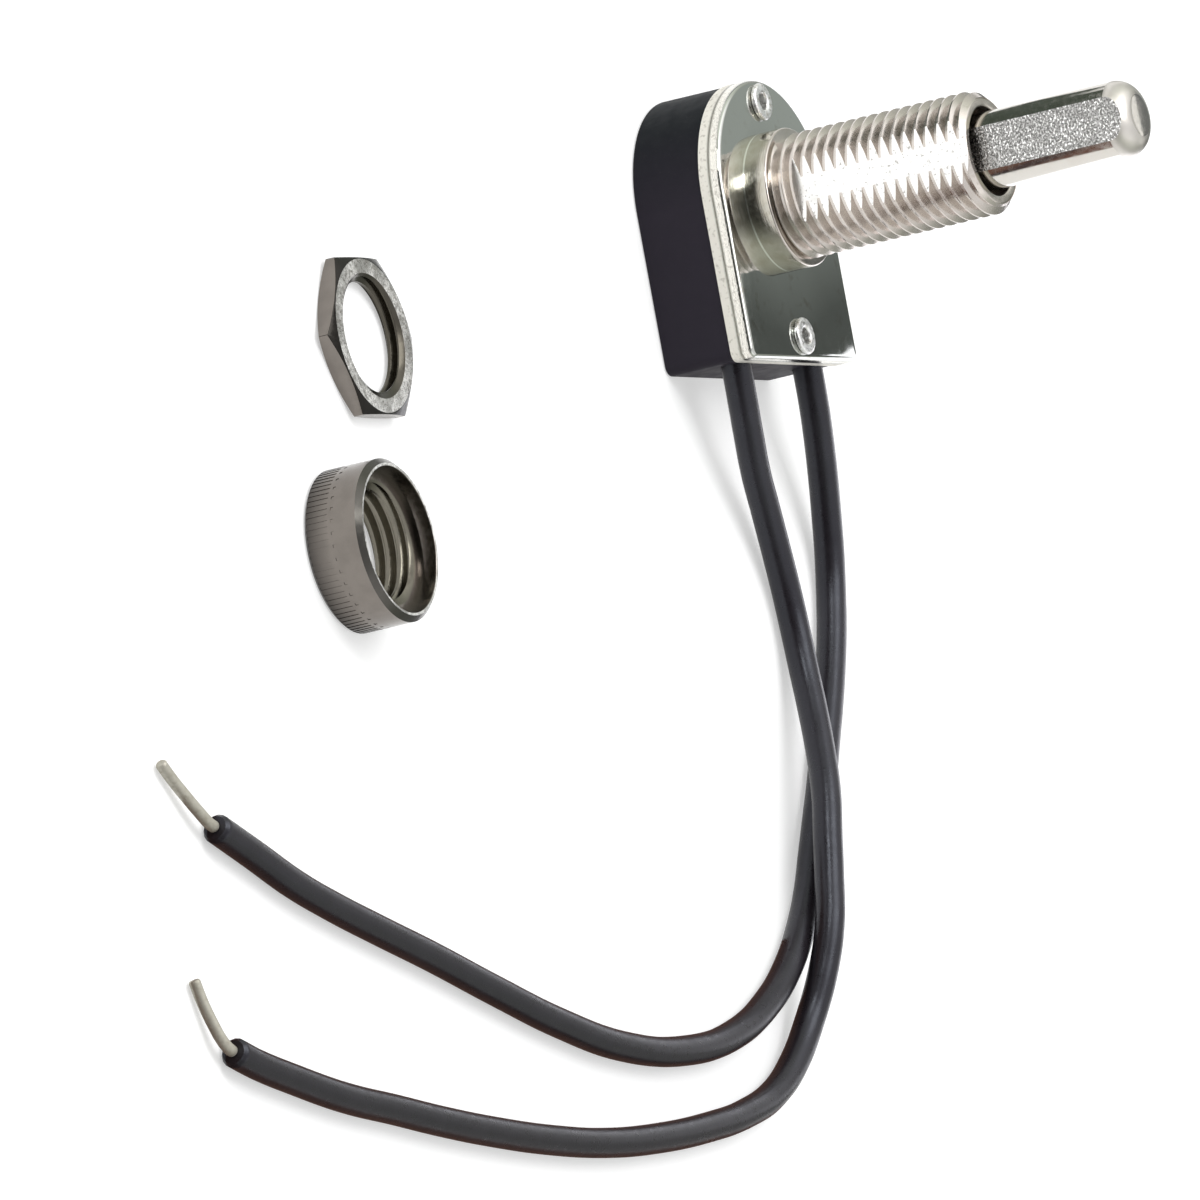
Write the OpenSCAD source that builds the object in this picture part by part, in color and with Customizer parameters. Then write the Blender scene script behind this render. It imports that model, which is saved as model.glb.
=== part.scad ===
// Push-on push-off switch for a panel: a moulded housing closed by a metal plate, a threaded bushing
// with a spring-loaded plunger, two wire leads, and the two mounting nuts lying beside it.
// The switch stands on the flat back of its housing. The bushing axis is Z, and +Y points to the round
// end of the plate. The leads leave the straight end, towards -Y.

/* [Housing] */
// Width of the housing
housing_w = 18.6; // [18:0.1:22]
// Distance from the bushing axis to the straight end
housing_drop = 12.6; // [11.8:0.1:16]
// Centre of the round end, above the bushing axis
arch_y = 0.5; // [0.2:0.1:2]
// Depth of the housing behind the plate
housing_h = 6; // [5.6:0.1:8]
// Thickness of the housing's back wall
floor_t = 1.2; // [0.8:0.1:1.6]
// Diameter of the pocket for the contact wheel
pocket_d = 11.8; // [11.2:0.1:12.2]
// Corner radius at the straight end
corner_r = 0.8; // [0.4:0.1:1.5]

/* [Front plate] */
// Thickness of the plate
plate_t = 1.9; // [1:0.1:3]
// How far the plate stands past the housing all round
plate_lip = 0.1; // [0:0.05:0.4]
// Width of the bevel round the plate's front edge
plate_bevel = 0.35; // [0.1:0.05:0.6]

/* [Bushing] */
// Outer diameter of the thread
thread_d = 10; // [9.8:0.1:11]
// Pitch of the thread
thread_pitch = 1; // [1:0.25:1.5]
// Depth of the thread
thread_depth = 0.54; // [0.4:0.02:0.6]
// Height of the bushing above the plate
bushing_h = 19.2; // [16:0.1:26]
// Diameter of the collar at its foot
collar_d = 11.2; // [10.6:0.1:14]
// Height of the collar
collar_h = 2; // [1:0.1:3]
// Bevel at the top of the thread
thread_bevel = 0.7; // [0.3:0.1:0.9]
// Depth of the flat down the side of the thread
thread_flat = 0.7; // [0.4:0.05:0.8]
// Height above the plate at which the flat starts
flat_start = 4; // [3:0.1:8]
// Diameter of the open mouth round the plunger
mouth_d = 7.2; // [6.8:0.1:7.6]
// Depth of the mouth
mouth_depth = 3; // [2:0.1:4]
// Length of the bore that guides the plunger
guide_h = 3; // [2:0.1:5]
// Diameter of the spring chamber
chamber_d = 7.5; // [7.4:0.05:7.7]
// Diameter of the spigot riveted through the plate
spigot_d = 9.2; // [8.8:0.1:9.6]

/* [Plunger] */
// Diameter of the plunger
plunger_d = 6.2; // [5.6:0.1:6.4]
// Length of the plunger outside the bushing
plunger_out = 13.3; // [6:0.1:20]
// Edge radius of the plunger's end
tip_r = 1.8; // [0.5:0.1:2.6]
// Depth of the flat down the side of the plunger
plunger_flat = 0.55; // [0.3:0.05:0.9]
// How far that flat reaches down into the mouth
flat_dip = 1.8; // [1:0.1:2]
// Thickness of the flange that keeps the plunger in
flange_t = 1.6; // [1:0.1:2.5]
// Diameter of the stem inside the spring
stem_d = 3.4; // [2.8:0.1:4]

/* [Ratchet drive] */
// Travel of the plunger
stroke = 2.4; // [1.8:0.1:2.8]
// Turn of the contact wheel for one press, in degrees
press_turn = 60; // [50:1:60]
// Number of ratchet teeth
teeth = 4; // [3:1:5]
// Diameter over the ratchet teeth
teeth_d = 6; // [5.6:0.1:6]
// Inner diameter of the ratchet teeth
teeth_in_d = 3.4; // [3:0.1:3.8]
// Height of the crown above its prongs
crown_h = 4; // [2.5:0.1:5]
// Thickness of the crown under the stem
crown_floor = 0.8; // [0.5:0.1:1.5]

/* [Contact wheel] */
// Diameter of the wheel
wheel_d = 9.2; // [8.8:0.1:9.6]
// Thickness of the wheel
wheel_t = 1.4; // [1:0.1:1.6]
// Wall of the ring round the ratchet teeth
hub_wall = 1; // [0.6:0.1:1.1]
// Diameter of the pin that the wheel turns on
pin_d = 2; // [1.6:0.1:2.4]
// Thickness of the contact bridge
bridge_t = 0.35; // [0.25:0.05:0.5]
// Width of the contact bridge
bridge_w = 2.4; // [2:0.1:3]
// Diameter of the contact buttons under the bridge
button_d = 1.4; // [1:0.1:1.8]
// Height of those buttons
button_h = 0.15; // [0.1:0.05:0.3]
// Height of the wave washer that presses the bridge down
wave_h = 0.6; // [0.5:0.05:0.8]
// Thickness of its sheet
wave_t = 0.15; // [0.1:0.05:0.25]
// Width of its ring
wave_w = 0.8; // [0.5:0.1:1]

/* [Terminals] */
// Thickness of the brass strips
strip_t = 0.5; // [0.3:0.05:0.6]
// Width of the contact pad
pad_w = 2.8; // [2.4:0.1:3.2]
// Distance from the bushing axis to the pad
pad_in = 3.2; // [2.8:0.1:4]
// Outer diameter of the crimp
crimp_d = 1.8; // [1.4:0.1:2]
// Length of the crimp
crimp_l = 3.9; // [2:0.1:4.2]

/* [Springs and discs] */
// Wire of the return spring
spring_wire = 0.45; // [0.3:0.05:0.5]
// Turns of the return spring
spring_turns = 9; // [6:1:12]
// Thickness of the ring under the return spring
retainer_t = 0.6; // [0.4:0.1:1]
// Thickness of the insulating disc
disc_t = 0.4; // [0.3:0.05:0.6]

/* [Rivets] */
// Distance of each rivet from the plate's edge
rivet_edge = 1.85; // [1.8:0.05:2.1]
// Diameter of the rivet's rolled head
rivet_head_d = 3; // [2.6:0.1:3.2]
// Height of that head
rivet_head_h = 0.45; // [0.3:0.05:0.8]
// Diameter of the rivet's shank
rivet_d = 2.1; // [1.8:0.1:2.2]
// Diameter of the hole through the rivet
rivet_hole_d = 1.3; // [0.8:0.1:1.4]
// Thickness of the flared end in the housing's back
rivet_back_t = 0.5; // [0.3:0.05:0.7]

/* [Mounting nuts] */
// Hexagon nut across its flats
hex_af = 12.5; // [12:0.1:16]
// Thickness of the hexagon nut
hex_t = 1.6; // [1.4:0.1:3]
// Outer diameter of the round nut
round_nut_d = 13; // [12.6:0.1:16]
// Height of the round nut
round_nut_h = 5; // [4.6:0.1:8]
// Wall of the rim round the recess in its top
rim_t = 0.7; // [0.4:0.1:1.2]
// Depth of that recess
recess_depth = 1.5; // [0.8:0.1:2]
// Height of the round nut's knurled band
band_h = 2.3; // [1.5:0.1:3]
// Depth of the groove above the band
groove = 0.1; // [0.05:0.05:0.4]
// Height of the countersinks at the ends of the thread
nut_sink = 0.3; // [0.1:0.05:0.5]

/* [Leads] */
// Distance from each lead to the side of the housing
lead_side = 3; // [2.7:0.1:3.2]
// How far each lead reaches into the housing
lead_in = 3.4; // [2.5:0.1:3.6]
// Diameter of a lead over its insulation
lead_d = 2.4; // [2:0.1:2.6]
// Diameter of its tinned strand
strand_d = 0.96; // [0.6:0.02:1]

/* [Hidden] */
$fn = 64;
fit = 0.05;              // Gap round parts that are pressed or laid together
slide = 0.1;             // Gap round parts that move past each other
tooth_gap = 0.15;        // Gap between the crown's prongs and the ramps
flange_gap = 0.15;       // Gap round the plunger's flange
disc_gap = 0.35;         // Gap between the ratchet teeth and the insulating disc
strip_gap = 0.15;        // Gap beside the strips in their channels
eye_gap = 0.3;           // Gap between the pin and the bridge's eye
wave_gap = 0.5;          // Gap between the pin and the wave washer
press_gap = 0.25;        // Gap under the crown when the plunger is pressed
crimp_gap = 0.8;         // Bare strand between the lead's insulation and the crimp
overlap = 0.2;           // Depth at which the parts of one solid run into each other
wall_cut = 1;            // Length by which a cut runs past the face it opens

plate_w = housing_w + 2 * plate_lip;
plate_drop = housing_drop + plate_lip;
plate_top = housing_h + plate_t;
bushing_top = plate_top + bushing_h;
collar_top = plate_top + collar_h;
guide_top = bushing_top - mouth_depth;
guide_bottom = guide_top - guide_h;

// Heights inside, from the back wall up
contact_z = floor_t + strip_t + slide;
bridge_z = contact_z + button_h;
wheel_z = bridge_z + bridge_t + wave_h;
teeth_z = wheel_z + wheel_t;
disc_z = housing_h - disc_t;

// Discs and rings
disc_ledge = 0.6;
disc_d = pocket_d + 2 * disc_ledge;
disc_hole_d = teeth_d + 2 * disc_gap;
retainer_d = chamber_d - 2 * fit;
hub_in_d = teeth_d + 2 * tooth_gap;
hub_d = hub_in_d + 2 * hub_wall;

// Ratchet: height gained for each degree of turn, and the angles of a tooth and a prong
tooth_space = 6;
prong_play = 2;
ramp_rise = stroke / press_turn;
tooth_angle = 360 / teeth - tooth_space;
prong_angle = tooth_angle - press_turn - prong_play;
teeth_top = teeth_z + ramp_rise * tooth_angle;
crown_z = teeth_top + stroke + press_gap;
crown_d = teeth_d - 2 * fit;

flange_d = chamber_d - 2 * flange_gap;
flange_top = guide_bottom - slide;
flange_z = flange_top - flange_t;
plunger_top = bushing_top + plunger_out;
spring_r = (chamber_d - spring_wire) / 2 - slide;

rivet_top_y = arch_y + plate_w / 2 - rivet_edge;
rivet_bottom_y = rivet_edge - plate_drop;
rivet_back_d = rivet_head_d;

nut_hole_d = thread_d - 2 * thread_depth;

// Where the leads pass through the housing's end, and where their crimps lie
lead_x = housing_w / 2 - lead_side;
lead_z = housing_h - lead_d / 2;
lead_in_y = lead_in - housing_drop;
channel_w = lead_d + 2 * fit;
channel_end_y = pad_w / 2 + 2 * slide;
crimp_start_y = lead_in_y + crimp_gap;
crimp_end_y = crimp_start_y + crimp_l;
strip_w = channel_w - 2 * strip_gap;

// Where the nuts lie
hex_nut_at = [-62.2, -10.6];
round_nut_at = [-71, -27.6];

// Centre line of each lead's insulation, from inside the housing to its far end. Sideways and lengthwise
// it is measured from where the lead leaves the housing's end, and upwards from the surface.
left_route = [
  [0, lead_in, lead_z], [0, -0.2, lead_z], [0.8, -2.8, 4.4], [2.2, -5.4, 3.7], [3.9, -8.2, 2.9],
  [5.9, -11.2, 2.2], [7.5, -14.4, 1.7], [8.6, -17.6, 1.4], [8.9, -20.8, 1.4], [8.5, -23.8, 1.7],
  [7.5, -26.9, 2.3], [5.9, -30.6, 3.1], [4.3, -34.2, 3.7], [3, -37.6, 3.8], [1.9, -41, 3.8],
  [0.6, -44.5, 3.8], [-0.7, -48.3, 3.1], [-2.5, -52.3, 1.9], [-5.4, -55.4, 1.4], [-9.4, -57.8, 1.2],
  [-15.2, -59.5, 1.2], [-22.1, -60.6, 1.2], [-31.2, -61.5, 1.2], [-40.5, -61.9, 1.2], [-49.9, -61.7, 1.2],
  [-59.2, -61.1, 1.2], [-67.8, -60.3, 1.2], [-75.5, -59.4, 1.2], [-84.2, -58.4, 1.2], [-92.2, -57, 1.2],
  [-98.1, -55.8, 1.2], [-101.4, -54.9, 1.2]
];
right_route = [
  [0, lead_in, lead_z], [0, -0.2, lead_z], [0.8, -2.8, 4.4], [2, -5.4, 3.7], [3.2, -8.2, 2.9],
  [4.2, -11.2, 2.1], [4.7, -14.2, 1.5], [4.3, -17.4, 1.2], [3.2, -20.4, 1.2], [1.8, -23.4, 1.2],
  [0.3, -26.2, 1.2], [-1.6, -29.4, 1.2], [-3.5, -32.6, 1.2], [-5.5, -35.6, 1.2], [-7.5, -38.6, 1.2],
  [-9.5, -41.6, 1.2], [-12, -44.5, 1.2], [-15.6, -47.7, 1.2], [-20.4, -50.6, 1.2], [-27.4, -53.2, 1.2],
  [-36.3, -54.5, 1.2], [-47.2, -54.2, 1.2], [-57.4, -52.4, 1.2], [-67.4, -49.9, 1.2], [-77.5, -47.2, 1.2],
  [-85.2, -45.3, 1.2], [-93, -43.3, 1.2], [-98.7, -41.6, 1.2], [-104.5, -39.4, 1.2], [-110.2, -37.3, 1.2]
];
// Centre line of each bare strand, measured from the far end of its insulation
left_bare = [
  [0, 0, 0], [-0.7, 0.3, 0], [-1.4, 1, -0.1], [-2, 2.3, -0.3], [-2.6, 3.9, -0.5], [-3.2, 5.7, -0.6]
];
right_bare = [
  [0, 0, 0], [-0.8, 0.3, 0], [-2, 1.2, -0.1], [-3.4, 2.5, -0.3], [-4.7, 3.8, -0.5], [-6, 5.1, -0.6]
];

// Direction of a path at one of its points
function unit(v) = v / norm(v);
function heading(path, i) =
  i == 0 ? unit(path[1] - path[0]) :
  i == len(path) - 1 ? unit(path[i] - path[i - 1]) :
  unit(unit(path[i + 1] - path[i]) + unit(path[i] - path[i - 1]));

// Ring of points round a path, square to its direction
function ring(centre, along, r, sides) =
  let (side = unit(cross(along, [0, 0, 1])), top = cross(side, along))
  [for (k = [0 : sides - 1]) let (a = (k + 0.5) * 360 / sides) centre + r * (cos(a) * side + sin(a) * top)];

// Upright section of a ring-shaped piece at one angle, from its inner and outer radius
function sector(a, r_in, r_out, low, high) = [
  [r_in * cos(a), r_in * sin(a), low], [r_out * cos(a), r_out * sin(a), low],
  [r_out * cos(a), r_out * sin(a), high], [r_in * cos(a), r_in * sin(a), high]
];

// Solid skinned over a row of like rings, closed on itself or capped at both ends
module skin(rings, loop = false) {
  n = len(rings[0]);
  m = len(rings);
  sides = [
    for (i = [0 : loop ? m - 1 : m - 2], k = [0 : n - 1])
      let (a = i * n + k, b = i * n + (k + 1) % n, j = (i + 1) % m)
      let (c = j * n + (k + 1) % n, d = j * n + k)
      each [[a, b, c], [a, c, d]]
  ];
  caps = loop ? [] : [[for (k = [n - 1 : -1 : 0]) k], [for (k = [0 : n - 1]) (m - 1) * n + k]];
  polyhedron([for (r = rings) each r], concat(sides, caps));
}

module tube(path, d, sides) {
  skin([for (i = [0 : len(path) - 1]) ring(path[i], heading(path, i), d / 2, sides)]);
}

// Outline of the housing and of the plate: a straight end with small corners and a round end
module outline(w, drop) {
  translate([0, arch_y]) circle(d = w);
  translate([-w / 2, -drop + corner_r]) square([w, drop - corner_r + arch_y]);
  translate([-w / 2 + corner_r, -drop]) square([w - 2 * corner_r, 2 * corner_r]);
  for (s = [-1, 1]) translate([s * (w / 2 - corner_r), -drop + corner_r]) circle(corner_r);
}

// Triangle cut from an edge that lies on the line x = 0, with the solid on its left and below
module bevel_profile(size) {
  polygon([[-size, 0], [size, 0], [size, -2 * size], [0, -size]]);
}

// Bevel round the top edge of a solid with that outline
module edge_bevel(w, drop, top, size) {
  straight = drop - corner_r + arch_y;
  translate([0, arch_y, top]) rotate_extrude(angle = 180) translate([w / 2, 0]) bevel_profile(size);
  for (s = [-1, 1]) {
    translate([s * w / 2, s > 0 ? arch_y : -drop + corner_r, top])
      rotate([90, 0, s > 0 ? 0 : 180])
        linear_extrude(straight) bevel_profile(size);
    translate([s * (w / 2 - corner_r), -drop + corner_r, top])
      rotate([0, 0, s > 0 ? -90 : 180])
        rotate_extrude(angle = 90) translate([corner_r, 0]) bevel_profile(size);
  }
  translate([w / 2 - corner_r, -drop, top])
    rotate([90, 0, -90])
      linear_extrude(w - 2 * corner_r) bevel_profile(size);
}

module at_rivets() {
  for (y = [rivet_top_y, rivet_bottom_y]) translate([0, y, 0]) children();
}

// The place where a lead leaves the housing's end; side is -1 or 1
module at_exit(side) {
  translate([side * lead_x, -housing_drop, 0]) children();
}

// Moulded cup with a round pocket, a channel to each lead and a pin for the contact wheel
module housing() {
  color("#2b2930") {
    difference() {
      linear_extrude(housing_h) outline(housing_w, housing_drop);
      translate([0, 0, floor_t]) cylinder(d = pocket_d, h = housing_h);
      translate([0, 0, disc_z]) cylinder(d = disc_d + 2 * fit, h = disc_t + wall_cut);
      translate([-lead_x, -channel_end_y, floor_t]) cube([2 * lead_x, 2 * channel_end_y, housing_h]);
      for (s = [-1, 1]) {
        translate([s * lead_x - channel_w / 2, lead_in_y, floor_t])
          cube([channel_w, channel_end_y - lead_in_y, housing_h]);
        at_exit(s) {
          translate([0, lead_in, lead_z]) rotate([90, 0, 0]) cylinder(d = channel_w, h = lead_in + wall_cut);
          translate([-channel_w / 2, -wall_cut, lead_z]) cube([channel_w, lead_in + wall_cut, housing_h]);
        }
      }
      at_rivets() {
        translate([0, 0, -wall_cut]) cylinder(d = rivet_d + 2 * fit, h = housing_h + 2 * wall_cut);
        translate([0, 0, -wall_cut]) cylinder(d = rivet_back_d + 2 * fit, h = rivet_back_t + wall_cut);
      }
    }
    translate([0, 0, floor_t - overlap]) cylinder(d = pin_d, h = teeth_z - floor_t + overlap);
  }
}

module front_plate() {
  color("#b9bcb8")
    difference() {
      translate([0, 0, housing_h]) linear_extrude(plate_t) outline(plate_w, plate_drop);
      edge_bevel(plate_w, plate_drop, plate_top, plate_bevel);
      translate([0, 0, housing_h - wall_cut]) cylinder(d = spigot_d, h = plate_t + 2 * wall_cut);
      at_rivets() translate([0, 0, housing_h - wall_cut])
        cylinder(d = rivet_d + 2 * fit, h = plate_t + 2 * wall_cut);
    }
}

// Turned bushing with its spring chamber, guide bore and mouth, and one flat milled down the side. Its thread
// is a row of rings, the topmost under the bevel.
module bushing() {
  r = thread_d / 2;
  root_r = r - thread_depth - fit;
  crest_w = thread_pitch / 8;
  flank_h = (r - root_r) * tan(30);
  thread_top = bushing_top - thread_bevel;
  rings = 1 + floor((thread_top - collar_top - crest_w - flank_h) / thread_pitch);
  color("#c9c4ba")
    difference() {
      rotate_extrude() polygon([
        [0, housing_h], [spigot_d / 2, housing_h], [spigot_d / 2, plate_top], [collar_d / 2, plate_top],
        [collar_d / 2, collar_top], [root_r, collar_top],
        for (k = [rings - 1 : -1 : 0])
          let (high = thread_top - k * thread_pitch, low = high - crest_w)
          each [[root_r, low - flank_h], [r, low], [r, high], if (k > 0) [root_r, high + flank_h]],
        [r - thread_bevel, bushing_top], [0, bushing_top]
      ]);
      translate([0, 0, housing_h - wall_cut])
        cylinder(d = chamber_d, h = guide_bottom - housing_h + wall_cut);
      translate([0, 0, housing_h]) cylinder(d = plunger_d + 2 * fit, h = bushing_h + plate_t + wall_cut);
      translate([0, 0, guide_top]) cylinder(d = mouth_d, h = mouth_depth + wall_cut);
      translate([-r - wall_cut, -r, plate_top + flat_start])
        cube([thread_flat + wall_cut, thread_d, bushing_h]);
    }
}

// Ring under the return spring, in the foot of the bushing, resting on the fibre disc
module spring_retainer() {
  color("#b08d57")
    translate([0, 0, housing_h])
      difference() {
        cylinder(d = retainer_d, h = retainer_t);
        translate([0, 0, -wall_cut]) cylinder(d = hub_in_d, h = retainer_t + 2 * wall_cut);
      }
}

// Fibre disc between the contacts and the plate
module insulator() {
  color("#8a4b32")
    translate([0, 0, disc_z])
      difference() {
        cylinder(d = disc_d, h = disc_t);
        translate([0, 0, -wall_cut]) cylinder(d = disc_hole_d, h = disc_t + 2 * wall_cut);
      }
}

// Plunger with its rounded end, keeping flange and stem, and one flat down the side
module plunger() {
  r = plunger_d / 2;
  flat_z = bushing_top - flat_dip;
  stem_z = crown_z + crown_floor;
  color("#cfccc4")
    difference() {
      union() {
        translate([0, 0, stem_z]) cylinder(d = stem_d, h = flange_z - stem_z);
        translate([0, 0, flange_z]) cylinder(d = flange_d, h = flange_t);
        translate([0, 0, flange_top]) cylinder(r = r, h = plunger_top - tip_r - flange_top);
        translate([0, 0, plunger_top - tip_r]) cylinder(r = r - tip_r, h = tip_r);
        translate([0, 0, plunger_top - tip_r])
          rotate_extrude()
            intersection() {
              translate([r - tip_r, 0]) circle(tip_r);
              square([r, tip_r]);
            }
      }
      translate([-r - wall_cut, -r, flat_z])
        cube([plunger_flat + wall_cut, plunger_d, plunger_top - flat_z + wall_cut]);
    }
}

// Nylon crown on the stem, with slanted prongs that ride on the ramps of the contact wheel
module drive_crown() {
  r_in = teeth_in_d / 2;
  r_out = crown_d / 2 - fit;
  steps = 4;
  color("#e8e2d0") {
    difference() {
      translate([0, 0, crown_z]) cylinder(d = crown_d, h = crown_h);
      translate([0, 0, crown_z + crown_floor]) cylinder(d = stem_d, h = crown_h);
    }
    for (k = [0 : teeth - 1])
      rotate([0, 0, k * 360 / teeth])
        skin([
          for (i = [0 : steps])
            let (a = tooth_angle - prong_angle + i * prong_angle / steps)
            sector(a, r_in, r_out, teeth_z + ramp_rise * a + tooth_gap, crown_z + overlap)
        ]);
  }
}

module return_spring() {
  low = housing_h + retainer_t + spring_wire / 2;
  high = flange_z - spring_wire / 2;
  steps = 14;
  last = spring_turns * steps;
  path = [
    for (i = [0 : last])
      let (a = i * 360 / steps)
      [spring_r * cos(a), spring_r * sin(a), low + (high - low) * i / last]
  ];
  color("#9a9a96") tube(path, spring_wire, 6);
}

// Wheel with one ramp to each ratchet tooth on top, and lugs below that carry the contact bridge round
module contact_wheel() {
  lug_t = 0.5;
  lug_l = 1;
  lug_y = 3.2;
  lug_x = bridge_w / 2 + slide;
  land = 0.01;
  steps = 10;
  color("#e3dcc8") {
    difference() {
      union() {
        translate([0, 0, wheel_z]) cylinder(d = wheel_d, h = wheel_t);
        translate([0, 0, teeth_z])
          difference() {
            translate([0, 0, -overlap]) cylinder(d = hub_d, h = disc_z - slide - teeth_z + overlap);
            cylinder(d = hub_in_d, h = housing_h);
          }
      }
      translate([0, 0, wheel_z - wall_cut]) cylinder(d = pin_d + 2 * fit, h = wheel_t + 2 * wall_cut);
    }
    for (k = [0 : teeth - 1])
      rotate([0, 0, k * 360 / teeth])
        skin([
          for (i = [0 : steps])
            let (a = i * tooth_angle / steps)
            sector(a, teeth_in_d / 2, teeth_d / 2, teeth_z - overlap, teeth_z + ramp_rise * a + land)
        ]);
    for (turn = [0, 180], y = [-lug_y, lug_y])
      rotate([0, 0, turn])
        translate([lug_x, y - lug_l / 2, bridge_z])
          cube([lug_t, lug_l, wheel_z - bridge_z + overlap]);
  }
}

// Spring washer with three waves, between the wheel and the bridge
module wave_washer() {
  waves = 3;
  steps = 12 * waves;
  r_in = pin_d / 2 + wave_gap;
  mid = (bridge_z + bridge_t + wheel_z) / 2;
  swing = (wave_h - wave_t - fit) / 2;
  color("#b9b5a8")
    skin([
      for (i = [0 : steps - 1])
        let (a = i * 360 / steps, z = mid + swing * sin(waves * a))
        sector(a, r_in, r_in + wave_w, z - wave_t / 2, z + wave_t / 2)
    ], loop = true);
}

// Copper bar that joins the two terminals when it is turned across them
module contact_bridge() {
  past_wheel = 0.2;
  eye_wall = 0.8;
  reach = wheel_d / 2 + past_wheel;
  eye_d = pin_d + 2 * eye_gap;
  color("#b87333")
    difference() {
      union() {
        translate([-bridge_w / 2, -reach, bridge_z]) cube([bridge_w, 2 * reach, bridge_t]);
        translate([0, 0, bridge_z]) cylinder(d = eye_d + 2 * eye_wall, h = bridge_t);
        for (s = [-1, 1])
          translate([0, s * (reach - button_d / 2), contact_z])
            cylinder(d = button_d, h = button_h + bridge_t);
      }
      translate([0, 0, bridge_z - wall_cut]) cylinder(d = eye_d, h = bridge_t + 2 * wall_cut);
    }
}

// Brass strip from the contact pad along the channel to the crimp on the lead's strand; side is -1 or 1
module terminal(side) {
  pad_l = lead_x + strip_w / 2 - pad_in;
  color("#c8a24a")
    difference() {
      union() {
        translate([side > 0 ? pad_in : -pad_in - pad_l, -pad_w / 2, floor_t]) cube([pad_l, pad_w, strip_t]);
        translate([side * lead_x - strip_w / 2, crimp_end_y - strip_t, floor_t])
          cube([strip_w, pad_w / 2 - crimp_end_y + strip_t, strip_t]);
        translate([side * lead_x - crimp_d / 2, crimp_end_y - strip_t, floor_t])
          cube([crimp_d, strip_t, lead_z - floor_t]);
        translate([side * lead_x, crimp_end_y, lead_z]) rotate([90, 0, 0]) cylinder(d = crimp_d, h = crimp_l);
      }
      translate([side * lead_x, crimp_end_y + wall_cut, lead_z])
        rotate([90, 0, 0]) cylinder(d = strand_d + 2 * fit, h = crimp_l + 2 * wall_cut);
    }
}

// Tubular rivet with a rolled head on the plate and a flared end sunk in the housing's back
module rivet() {
  roll = rivet_head_h;
  head_r = rivet_head_d / 2;
  color("#c4c2bb")
    rotate_extrude()
      difference() {
        union() {
          translate([0, fit]) square([rivet_back_d / 2, rivet_back_t - fit]);
          translate([0, fit]) square([rivet_d / 2, plate_top + rivet_head_h - fit]);
          translate([0, plate_top]) square([head_r - roll, rivet_head_h]);
          translate([head_r - roll, plate_top])
            intersection() {
              circle(roll);
              square(roll);
            }
        }
        translate([0, -wall_cut]) square([rivet_hole_d / 2, plate_top + rivet_head_h + 2 * wall_cut]);
      }
}

// Strand of a lead: its end inside the crimp and its bare end past the insulation
module strand(side, route, bare) {
  tip = route[len(route) - 1];
  color("#c9c3b6") {
    translate([side * lead_x, lead_in_y, lead_z])
      rotate([-90, 0, 0]) cylinder(d = strand_d, h = crimp_end_y - lead_in_y);
    at_exit(side) tube([for (p = bare) tip + p], strand_d, 8);
  }
}

// Insulation of a lead
module lead(side, route) {
  color("#3a3a3c") at_exit(side) tube(route, lead_d, 8);
}

// Thread hole with a countersink at both ends
module nut_bore(top) {
  r = nut_hole_d / 2;
  wide = r + nut_sink + wall_cut;
  rotate_extrude() polygon([
    [0, -wall_cut], [wide, -wall_cut], [r, nut_sink], [r, top - nut_sink], [wide, top + wall_cut],
    [0, top + wall_cut]
  ]);
}

// Thin hexagon nut with its corners turned off
module hex_nut() {
  corner_d = hex_af / cos(30);
  face_inset = 0.1;
  face_r = hex_af / 2 - face_inset;
  turned = 0.4;
  color("#aeaba3")
    translate(hex_nut_at)
      difference() {
        intersection() {
          cylinder(d = corner_d, h = hex_t, $fn = 6);
          rotate_extrude() polygon([
            [0, 0], [face_r, 0], [corner_d / 2, turned], [corner_d / 2, hex_t - turned], [face_r, hex_t],
            [0, hex_t]
          ]);
        }
        nut_bore(hex_t);
      }
}

// Round nut with a band for the knurl, a groove above it and a recess in its top
module round_nut() {
  r = round_nut_d / 2;
  edge = 0.25;
  thread_top = round_nut_h - recess_depth;
  color("#aeaba3")
    translate(round_nut_at)
      difference() {
        rotate_extrude() polygon([
          [0, 0], [r - edge, 0], [r, edge], [r, band_h], [r - groove, band_h + groove],
          [r - groove, band_h + 2 * groove], [r, band_h + 3 * groove], [r, round_nut_h - edge],
          [r - edge, round_nut_h], [0, round_nut_h]
        ]);
        nut_bore(thread_top);
        translate([0, 0, thread_top]) cylinder(r = r - rim_t, h = recess_depth + wall_cut);
      }
}

module left_terminal() {
  terminal(-1);
}

module right_terminal() {
  terminal(1);
}

module top_rivet() {
  translate([0, rivet_top_y, 0]) rivet();
}

module bottom_rivet() {
  translate([0, rivet_bottom_y, 0]) rivet();
}

module left_lead() {
  lead(-1, left_route);
}

module right_lead() {
  lead(1, right_route);
}

module left_strand() {
  strand(-1, left_route, left_bare);
}

module right_strand() {
  strand(1, right_route, right_bare);
}

housing();
front_plate();
bushing();
spring_retainer();
insulator();
plunger();
drive_crown();
return_spring();
contact_wheel();
wave_washer();
contact_bridge();
left_terminal();
right_terminal();
top_rivet();
bottom_rivet();
left_lead();
right_lead();
left_strand();
right_strand();
hex_nut();
round_nut();
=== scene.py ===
"""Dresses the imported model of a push-on push-off panel switch.

The file is laid out as an add-on. Sizes are in metres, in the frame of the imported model: the
switch stands on the back of its housing, Z runs along the bushing, and the leads leave towards -Y.
"""

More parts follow.
